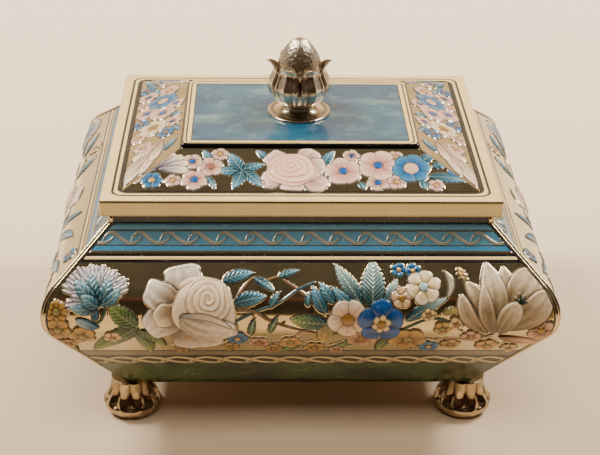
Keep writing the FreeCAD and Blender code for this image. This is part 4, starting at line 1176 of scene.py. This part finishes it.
SLOPES = (
    ("front", HALF_X, HALF_Y, lambda canvas: paint_lid_front(canvas, 1)),
    ("right", HALF_Y, HALF_X, lambda canvas: paint_lid_side(canvas, 1)),
    ("rear", HALF_X, HALF_Y, lambda canvas: paint_lid_front(canvas, -1)),
    ("left", HALF_Y, HALF_X, lambda canvas: paint_lid_side(canvas, -1)))
for side, along_half, out_half, paint_floral in SLOPES:
    build_skin("lid_print_" + side, [slope_canvas(along_half, paint_floral)], slope_turner(side, out_half),
               "lid", [PRINT])


def depth_in(x, y, half_x, half_y, radius):
    """Distance inside a rectangle with rounded corners, negative outside it."""
    qx, qy = np.abs(x) - half_x + radius, np.abs(y) - half_y + radius
    outside = np.hypot(np.maximum(qx, 0), np.maximum(qy, 0))
    return radius - outside - np.minimum(np.maximum(qx, qy), 0)


def ring_points(half_x, half_y, radius):
    """Points round a rectangle with rounded corners, closest together near the corners."""
    share = np.unique(np.concatenate((np.arange(0, 0.2, 0.005), np.linspace(0.2, 1, 16))))
    line = []
    for k, (sx, sy) in enumerate(((1, -1), (1, 1), (-1, 1), (-1, -1))):
        before, after = (half_x, half_y) if k % 2 == 0 else (half_y, half_x)
        centre = np.array((sx * (half_x - radius), sy * (half_y - radius)))
        turns = math.radians(90 * k - 90) + np.linspace(0, math.pi / 2, 5)
        arc = centre + radius * np.stack((np.cos(turns), np.sin(turns)), -1)
        way_in = np.array((-math.sin(turns[0]), math.cos(turns[0])))
        way_out = np.array((-math.sin(turns[-1]), math.cos(turns[-1])))
        line += [arc[0] - way_in * distance for distance in share[:0:-1] * (before - radius)]
        line += list(arc)
        line += [arc[-1] + way_out * distance for distance in share[1:-1] * (after - radius)]
    return line


def build_rim():
    """Skirt and flat rim of the lid as one ring of print with rolled-over edges."""
    corner = 0.62
    outer, inner = [], []
    skin = 0.26
    for z in np.linspace(SKIRT_Z + 0.15, RIM_Z - 0.5, 9):
        outer.append((-skin, z))
    for angle in np.linspace(0, 90, 6)[1:]:
        a = math.radians(angle)
        outer.append((-skin + 0.62 * (1 - math.cos(a)), RIM_Z - 0.5 + 0.66 * math.sin(a)))
    for inset in np.arange(0.6, RIM_WIDTH - 0.02, 0.2):
        outer.append((inset, RIM_Z + 0.16))
    outer.append((RIM_WIDTH + 0.1, RIM_Z + 0.12))
    inner.append((RIM_WIDTH + 0.05, RIM_Z + 0.03))
    inner.append((3.0, RIM_Z + 0.02))
    inner.append((-0.04, RIM_Z + 0.02))
    inner.append((-0.04, SKIRT_Z + 0.15))
    rows = []
    for inset, z in outer + inner:
        radius = max(corner - max(inset + skin, 0), 0.03)
        rows.append([(px, py, z) for px, py in ring_points(HALF_X - inset, HALF_Y - inset, radius)])
    points = np.array(rows)
    x, y, z = points[..., 0], points[..., 1], points[..., 2]
    paint = np.zeros(points.shape) + np.array(CREAM)
    # The skirt gets the rim's cream painted brighter and warmer: painted light on its lit face.
    paint[z < RIM_Z - 0.7] = LIT_SKIRT_CREAM
    edge_line = cover(0.52 - np.abs(z - RIM_Z + 0.62), 0.15)
    paint = mix(paint, BLACK, edge_line)
    thin = depth_in(x, y, HALF_X - 4.0, HALF_Y - 4.0, 4.0)
    thick = depth_in(x, y, HALF_X - 5.75, HALF_Y - 5.75, 4.0)
    top = z > RIM_Z
    paint = mix(paint, BLACK, cover(0.50 - np.abs(thin), 0.12) * top)
    paint = mix(paint, BLACK, cover(thick, 0.16) * top)
    grid_solid("lid_rim_print", points, "lid", PRINT, paint, np.zeros(x.shape),
               closed=True)


def build_table():
    """The raised table: a step with a painted bead round it, and the clouded field inside."""
    half_x, half_y = HALF_X - SLOPE_INSET, HALF_Y - SLOPE_INSET
    fine = np.concatenate((np.arange(0, 5.2, 0.16), [5.2]))

    def line(half):
        inner = np.linspace(-(half - 5.2), half - 5.2, int((half - 5) * 1.2))
        return np.concatenate((-half + fine, inner[1:-1], (half - fine)[::-1]))
    xs, ys = line(half_x), line(half_y)
    x, y = np.meshgrid(xs, ys)
    depth = depth_in(x, y, half_x, half_y, 1.6)
    step = smooth(depth / 0.45)
    z = SLOPE_Z + 0.10 + (TABLE_Z - SLOPE_Z + 0.06) * step
    z = z + 0.30 * np.sin(np.clip((depth - 0.6) / 1.1, 0, 1) * math.pi)
    square = depth_in(x, y, half_x - 4.2, half_y - 4.2, 0.0)
    paint = np.zeros(x.shape + (3,)) + np.array(CREAM)
    outer_line = depth_in(x, y, half_x - 0.1, half_y - 0.1, 3.4)
    inner_line = depth_in(x, y, half_x - 2.1, half_y - 2.1, 2.6)
    paint = mix(paint, BLACK, cover(0.95 - outer_line, 0.16))
    paint = mix(paint, BLACK, cover(0.30 - np.abs(inner_line), 0.16))
    paint = mix(paint, BLACK, cover(0.28 - np.abs(square), 0.16))
    field = cover(square - 0.15, 0.16)
    rows, columns = x.shape
    top = np.stack((x, y, z), -1)
    under = np.stack((x, y, np.where(depth > 0.9, TABLE_Z + 0.03, SLOPE_Z + 0.02)), -1)
    points = np.concatenate((top.reshape(-1, 3), under.reshape(-1, 3)))
    index = np.arange(rows * columns).reshape(rows, columns)
    upper = np.stack((index[:-1, :-1], index[:-1, 1:], index[1:, 1:], index[1:, :-1]), -1).reshape(-1, 4)
    lower = upper[:, ::-1] + rows * columns
    loop = np.concatenate((index[0, :-1], index[:-1, -1], index[-1, :0:-1], index[:0:-1, 0]))
    nexts = np.roll(loop, -1)
    wall = np.stack((nexts, loop, loop + rows * columns, nexts + rows * columns), -1)
    quads = np.concatenate((upper, lower, wall))
    loops = quads.ravel()
    both = np.concatenate((paint.reshape(-1, 3), paint.reshape(-1, 3) * 0 + np.array(CREAM)))
    fields = np.concatenate((field.ravel(), field.ravel() * 0))
    make_mesh("lid_table_print", points, loops, np.full(len(quads), 4), "lid", [TABLE],
              None, np.arange(len(quads)) < len(upper), both[loops], fields[loops])


build_rim()
build_table()

# ---------------------------------------------------------------- finial
finial_low, finial_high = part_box("finial_foot")
cup_low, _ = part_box("finial_leaf_cup")
_, bud_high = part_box("finial_bud")
FINIAL_Z = finial_low.z / MM
CUP_Z = cup_low.z / MM
FINIAL_TOP = bud_high.z / MM
FINIAL_RADIUS = finial_high.x / MM
EGG_RADIUS = bud_high.x / MM


def turned_grid(profile, columns=96, ripple=None):
    """Points turned from (radius, height) pairs, with an optional ripple(angle, radius, height)."""
    angle = np.linspace(0, math.tau, columns, endpoint=False)[None, :]
    radius = np.array([p[0] for p in profile])[:, None]
    height = np.array([p[1] for p in profile])[:, None]
    radius = radius + (ripple(angle, radius, height) if ripple else 0 * angle)
    height = height + 0 * angle
    return np.stack((radius * np.cos(angle), radius * np.sin(angle), height), -1)


def through(points, count):
    """Many points along a smooth line through a few."""
    line = curve_points(points, count)
    return [(max(float(p[0]), 0.01), float(p[1])) for p in line]


def build_finial_foot():
    """The finial's disc, with a rolled rim and a neck."""
    z = FINIAL_Z + 0.13
    rim = FINIAL_RADIUS
    profile = [(rim - 0.9, z), (rim - 0.2, z + 0.05)]
    profile += through([(rim, z + 0.45), (rim - 0.25, z + 0.85), (rim - 0.9, z + 1.0), (rim - 1.9, z + 0.85),
                        (rim - 3.9, z + 1.35), (7.5, z + 2.2), (6.9, z + 3.0), (7.2, z + 3.9)], 6)
    points = turned_grid(profile, 96, lambda a, r, h: 0.06 * np.cos(a * 24) * (r > 8) * (h > z + 1))
    # Darker in the groove inside the rolled rim: tarnish there, and painted shade in the groove.
    tarnish_and_shade = hump(np.array([p[0] for p in profile]) - (rim - 2.0), 0.9) * 0.7
    grid_solid("finial_foot_cast", points, "lid", CASTING, None,
               np.repeat(tarnish_and_shade[:, None], 96, 1), caps=True, replaces="finial_foot")


def build_egg():
    """The bud: an egg stippled all over."""
    low = CUP_Z + 1.6
    tall = FINIAL_TOP - low
    profile = []
    for s in np.linspace(0.02, 1, 84):
        swell = math.sin(math.pi * s ** 0.86) ** 0.54 if s < 1 else 0.0
        profile.append((max(EGG_RADIUS * 1.1 * swell, 0.05), low + tall * s))
    columns = 150
    rng = np.random.default_rng(11)

    def stipple(angle, radius, height):
        rough = rng.uniform(-1, 1, (len(profile), columns))
        return rough * 0.19 * np.clip(radius / 3, 0, 1)
    points = turned_grid(profile, columns, stipple)
    mean = np.hypot(points[..., 0], points[..., 1])
    base = np.array([p[0] for p in profile])[:, None]
    # Darker in the stipple's pits, as tarnish and painted shade, and low down inside the leaf cup, as
    # painted shade of the cup.
    tarnish_and_shade = np.clip((base - mean) / 0.16, 0, 1) * 0.55
    tarnish_and_shade = np.maximum(tarnish_and_shade, smooth((CUP_Z + 10 - points[..., 2]) / 5) * 0.6)
    grid_solid("finial_bud_cast", points, "lid", SATIN_CASTING, None, tarnish_and_shade, caps=True,
               replaces="finial_bud")


def leaf_shell(centre_angle, half_angle, reach, tall, curl, ridge, start_z):
    """Outer and inner faces of one upright leaf, as a closed tube of rows round its edge.

    The leaf swells from its foot, leans in, and rolls outward at its pointed tip.
    """
    rows, cols = 46, 25
    s = np.linspace(0, 1, rows)[:, None]
    q = np.linspace(-1, 1, cols)[None, :]
    narrow = np.clip(1 - np.clip((s - 0.62) / 0.38, 0, 1) ** 1.7, 0.004, 1) ** 0.85
    angle = centre_angle + q * half_angle * narrow
    radius = 7.2 + (reach - 7.2) * np.sin(np.clip(s / 0.44, 0, 1) * math.pi / 2) ** 0.75
    radius = radius - 2.3 * smooth((s - 0.42) / 0.36) + curl * np.clip((s - 0.74) / 0.26, 0, 1) ** 1.5
    z = start_z + tall * (s - 2.6 * np.clip(s - 0.82, 0, 1) ** 2)
    wave = ridge * hump(q, 0.20) - ridge * 0.7 * hump(np.abs(q) - 0.46, 0.14)
    wave = wave + ridge * 0.28 * np.cos(q * 5 * math.pi)
    wave = wave - 0.7 * smooth((np.abs(q) - 0.76) / 0.24)
    radius = radius + wave * smooth(s * 4) * (1 - 0.7 * smooth((s - 0.60) / 0.30))
    outer = np.stack((radius * np.cos(angle), radius * np.sin(angle), z + 0 * q), -1)
    inner_r = radius - 0.75
    inner = np.stack((inner_r * np.cos(angle), inner_r * np.sin(angle), z + 0 * q - 0.1), -1)
    tube = np.concatenate((outer, inner[:, ::-1]), 1)
    # Darker along the grooves, at the edges, at the foot and all over the inner face: tarnish in the
    # grooves, painted shade between the leaves, at their feet and on the inner faces.
    tarnish_and_shade = 0.55 * hump(np.abs(q) - 0.46, 0.10) + 0.9 * smooth((np.abs(q) - 0.88) / 0.12)
    tarnish_and_shade = tarnish_and_shade * np.ones((rows, 1)) * (1 - smooth((s - 0.74) / 0.1))
    tarnish_and_shade = np.maximum(tarnish_and_shade, smooth((0.12 - s) / 0.12))
    return tube, np.concatenate((tarnish_and_shade, np.full((rows, cols), 1.0)), 1)


def join_grids(name, grids, body, material, replaces):
    """Several tubes of points, each capped at both ends, as one mesh."""
    points, loops, sizes, flags, tarnish_and_shade = [], [], [], [], []
    start = 0
    for grid, shade in grids:
        rows, columns = grid.shape[:2]
        index = start + np.arange(rows * columns).reshape(rows, columns)
        wrap = np.concatenate((index, index[:, :1]), 1)
        quads = np.stack((wrap[:-1, :-1], wrap[:-1, 1:], wrap[1:, 1:], wrap[1:, :-1]), -1).reshape(-1)
        points.append(grid.reshape(-1, 3))
        tarnish_and_shade.append(shade.reshape(-1))
        loops += [quads, index[0, ::-1], index[-1]]
        sizes += [np.full(len(quads) // 4, 4), [columns, columns]]
        flags += [np.ones(len(quads) // 4, bool), [False, False]]
        start += rows * columns
    loops = np.concatenate(loops)
    return make_mesh(name, np.concatenate(points), loops, np.concatenate(sizes), body, [material],
                     None, np.concatenate(flags), None, np.concatenate(tarnish_and_shade)[loops], replaces)


def build_leaf_cup():
    """Six broad upright leaves with six narrow ones between them."""
    grids = []
    for k in range(6):
        angle = math.radians(60 * k - 60)
        grids.append(leaf_shell(angle, math.radians(28.5), 12.3, 20.2, 3.4, 0.46, CUP_Z))
        between = angle + math.radians(30)
        grids.append(leaf_shell(between, math.radians(12), 11.7, 16.4, 1.0, 0.30, CUP_Z + 0.2))
    seat = turned_grid([(6.8, CUP_Z - 0.1), (8.2, CUP_Z + 0.7), (10.0, CUP_Z + 3.0), (9.6, CUP_Z + 5.5),
                        (6.0, CUP_Z + 6.0)], 48)
    # The seat under the leaves is dark all over: painted shade.
    grids.append((seat, np.full(seat.shape[:2], 0.9)))
    join_grids("finial_leaves_cast", grids, "lid", SATIN_CASTING, "finial_leaf_cup")


build_finial_foot()
build_egg()
build_leaf_cup()

# ---------------------------------------------------------------- feet


FOOT_SIDES = 10


def build_foot(name):
    """A squat bun with a sharp ten-sided edge low down, hollow facets over it and curled petals on top."""
    low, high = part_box("foot_" + name)
    centre = ((low.x + high.x) / 2 / MM, (low.y + high.y) / 2 / MM)
    tall = high.z / MM
    profile = [(8.4, 0.0), (8.9, 0.1)]
    profile += through([(9.4, 0.4), (10.6, 1.6), (11.5, 3.0), (12.0, 4.4)], 5)
    profile += through([(11.95, 4.7), (11.6, 5.7), (10.8, 7.2), (9.9, 8.6), (9.2, 9.9), (8.8, 11.0),
                        (8.5, 12.2), (8.3, 13.6), (8.2, 15.0), (8.3, 15.9)], 6)
    profile += [(8.3, 16.2), (8.1, 16.35), (8.0, tall - 0.02)]
    heights = np.array([p[1] for p in profile])[:, None]
    radius = np.array([p[0] for p in profile])[:, None]
    angle = np.linspace(0, math.tau, 240, endpoint=False)[None, :]
    half_side = math.pi / FOOT_SIDES
    side_way = (angle + half_side) % (2 * half_side) - half_side
    flat = math.cos(half_side) / np.cos(half_side - np.abs(side_way))
    near_edge = hump(heights - 4.5, 3.0)
    petal = np.abs(np.cos(angle * FOOT_SIDES / 2))
    hollow = 1 - petal
    on_facets = smooth((heights - 4.8) / 1.2) * smooth((13.0 - heights) / 3.0)
    on_petals = smooth((heights - 9.4) / 1.2) * smooth((16.4 - heights) / 0.4)
    radius = radius * (1 - (1 - flat) * near_edge * 0.75) - 1.15 * hollow * on_facets
    curl = hump(heights - 10.6, 1.1)
    radius = radius + on_petals * (0.12 * petal * curl - 0.5 * (1 - petal) ** 1.5)
    lifted = heights - 0.5 * petal * hump(heights - 10.2, 1.3)
    points = np.stack((centre[0] + radius * np.cos(angle), centre[1] + radius * np.sin(angle), lifted), -1)
    # Darker under the petals, at the very bottom by the floor, in the hollow facets and between the petals:
    # tarnish in the hollows, painted shade under the petals and by the floor.
    tarnish_and_shade = 0.55 * hump(heights - 10.1, 0.6) + 0.4 * hump(heights, 0.8)
    tarnish_and_shade = np.clip(tarnish_and_shade + 0.35 * hollow ** 2 * on_facets + 0.8 * (1 - petal) ** 2 * on_petals, 0, 1)
    grid_solid("foot_cast_" + name, points, "casket", SHADED_FOOT_CASTING, None, tarnish_and_shade,
               caps=True, replaces="foot_" + name)


for corner_name in ("front_left", "front_right", "rear_left", "rear_right"):
    build_foot(corner_name)

# ---------------------------------------------------------------- floor, light and camera


def paper():
    """Pale paper, painted a little darker toward the viewer: a painted gradient of shade across the floor.
    """
    n = Surface("pale paper")
    split = n.add("ShaderNodeSeparateXYZ")
    n.link(n.place, split.inputs[0])
    n.drive("Base Color", n.blend(n.span(split.outputs["Y"], -0.15, 0.45, 0.0, 1.0),
                                  (0.79, 0.70, 0.59), (0.98, 0.91, 0.81)))
    n.set("Roughness", 0.85)
    return n.material


def build_floor():
    """A floor that turns up far behind the tin."""
    profile = [(-0.30, 0.0), (0.9, 0.0)]
    for angle in range(0, 91, 10):
        a = math.radians(angle)
        profile.append((0.9 + 0.6 * math.sin(a), 0.6 * (1 - math.cos(a))))
    profile.append((1.5, 2.4))
    points, faces = [], []
    for y, z in profile:
        points += [(-3.0, y, z - 0.0002), (3.0, y, z - 0.0002)]
    for k in range(len(profile) - 1):
        faces.append((2 * k, 2 * k + 1, 2 * k + 3, 2 * k + 2))
    mesh = bpy.data.meshes.new("paper_sweep")
    mesh.from_pydata(points, [], faces)
    mesh.materials.append(paper())
    for polygon in mesh.polygons:
        polygon.use_smooth = True
    sweep = bpy.data.objects.new("paper_sweep", mesh)
    bpy.context.scene.collection.objects.link(sweep)


def area_light(name, location, target, size, power, colour):
    """A rectangular soft light that faces a target."""
    data = bpy.data.lights.new(name, "AREA")
    data.shape = "RECTANGLE"
    data.size, data.size_y = size
    data.energy = power
    data.color = colour
    light = bpy.data.objects.new(name, data)
    bpy.context.scene.collection.objects.link(light)
    way = Vector(location) - Vector(target)
    light.matrix_world = Matrix.Translation(location) @ way.to_track_quat("Z", "Y").to_matrix().to_4x4()
    return light


def build_world():
    """A room: dim and brown toward the viewer and overhead, pale behind."""
    world = bpy.data.worlds.new("room")
    bpy.context.scene.world = world
    world.use_nodes = True
    world.node_tree.nodes.clear()
    n = Nodes(world.node_tree)
    split = n.add("ShaderNodeSeparateXYZ")
    n.link(n.add("ShaderNodeTexCoord").outputs["Generated"], split.inputs[0])
    forward, upward = split.outputs["Y"], split.outputs["Z"]
    rise = n.add("ShaderNodeValToRGB")
    n.link(upward, rise.inputs["Fac"])
    stops = rise.color_ramp.elements
    stops[0].position, stops[0].color = 0.0, (0.030, 0.020, 0.014, 1)
    stops[1].position, stops[1].color = 1.0, (0.16, 0.13, 0.10, 1)
    for position, colour in ((0.02, (0.020, 0.014, 0.010)), (0.42, (0.024, 0.015, 0.010)),
                             (0.46, (0.20, 0.050, 0.032)), (0.50, (0.18, 0.050, 0.032)),
                             (0.55, (0.056, 0.044, 0.040)), (0.80, (0.056, 0.045, 0.040)),
                             (0.96, (0.080, 0.064, 0.054))):
        stops.new(position).color = colour + (1,)
    ahead = n.span(forward, -0.05, 0.35, 0.0, 1.0)
    lower = n.span(upward, 0.92, 0.70, 0.0, 1.0)
    lit = n.blend(n.math("MULTIPLY", ahead, lower), rise.outputs["Color"], (0.66, 0.61, 0.56, 1))
    seen = n.add("ShaderNodeLightPath").outputs["Is Camera Ray"]
    shade = n.add("ShaderNodeBackground")
    n.link(n.blend(seen, lit, (1.20, 1.08, 0.94, 1)), shade.inputs["Color"])
    n.link(shade.outputs["Background"], n.add("ShaderNodeOutputWorld").inputs["Surface"])


def build_camera():
    """A long lens, looking down on the front from a little to the left, very slightly rolled."""
    pitch, yaw, roll = math.radians(28.545), math.radians(1.797), math.radians(0.956)
    place = (-0.0151, -0.5220, 0.3418)
    ahead = np.array((math.sin(yaw) * math.cos(pitch), math.cos(yaw) * math.cos(pitch), -math.sin(pitch)))
    right = np.array((math.cos(yaw), -math.sin(yaw), 0.0))
    up = np.cross(right, ahead)
    across = math.cos(roll) * right + math.sin(roll) * up
    top = -math.sin(roll) * right + math.cos(roll) * up
    matrix = Matrix([[across[i], top[i], -ahead[i], place[i]] for i in range(3)] + [[0, 0, 0, 1]])
    data = bpy.data.cameras.new("camera")
    data.sensor_width = 36.0
    data.lens = 84.01
    camera = bpy.data.objects.new("camera", data)
    bpy.context.scene.collection.objects.link(camera)
    camera.matrix_world = matrix
    bpy.context.scene.camera = camera


build_floor()
area_light("key_left", (-0.75, 0.20, 1.10), (0, 0.1, 0.06), (0.50, 0.40), 25.0, (1.0, 0.91, 0.78))
area_light("key_right", (0.80, 0.30, 1.10), (0, 0.1, 0.06), (0.50, 0.40), 24.0, (1.0, 0.91, 0.79))
soft = area_light("fill_above", (0.0, -0.70, 1.50), (0, 0, 0.05), (0.9, 0.5), 20.0, (1.0, 0.89, 0.74))
soft.visible_glossy = False
build_world()
build_camera()
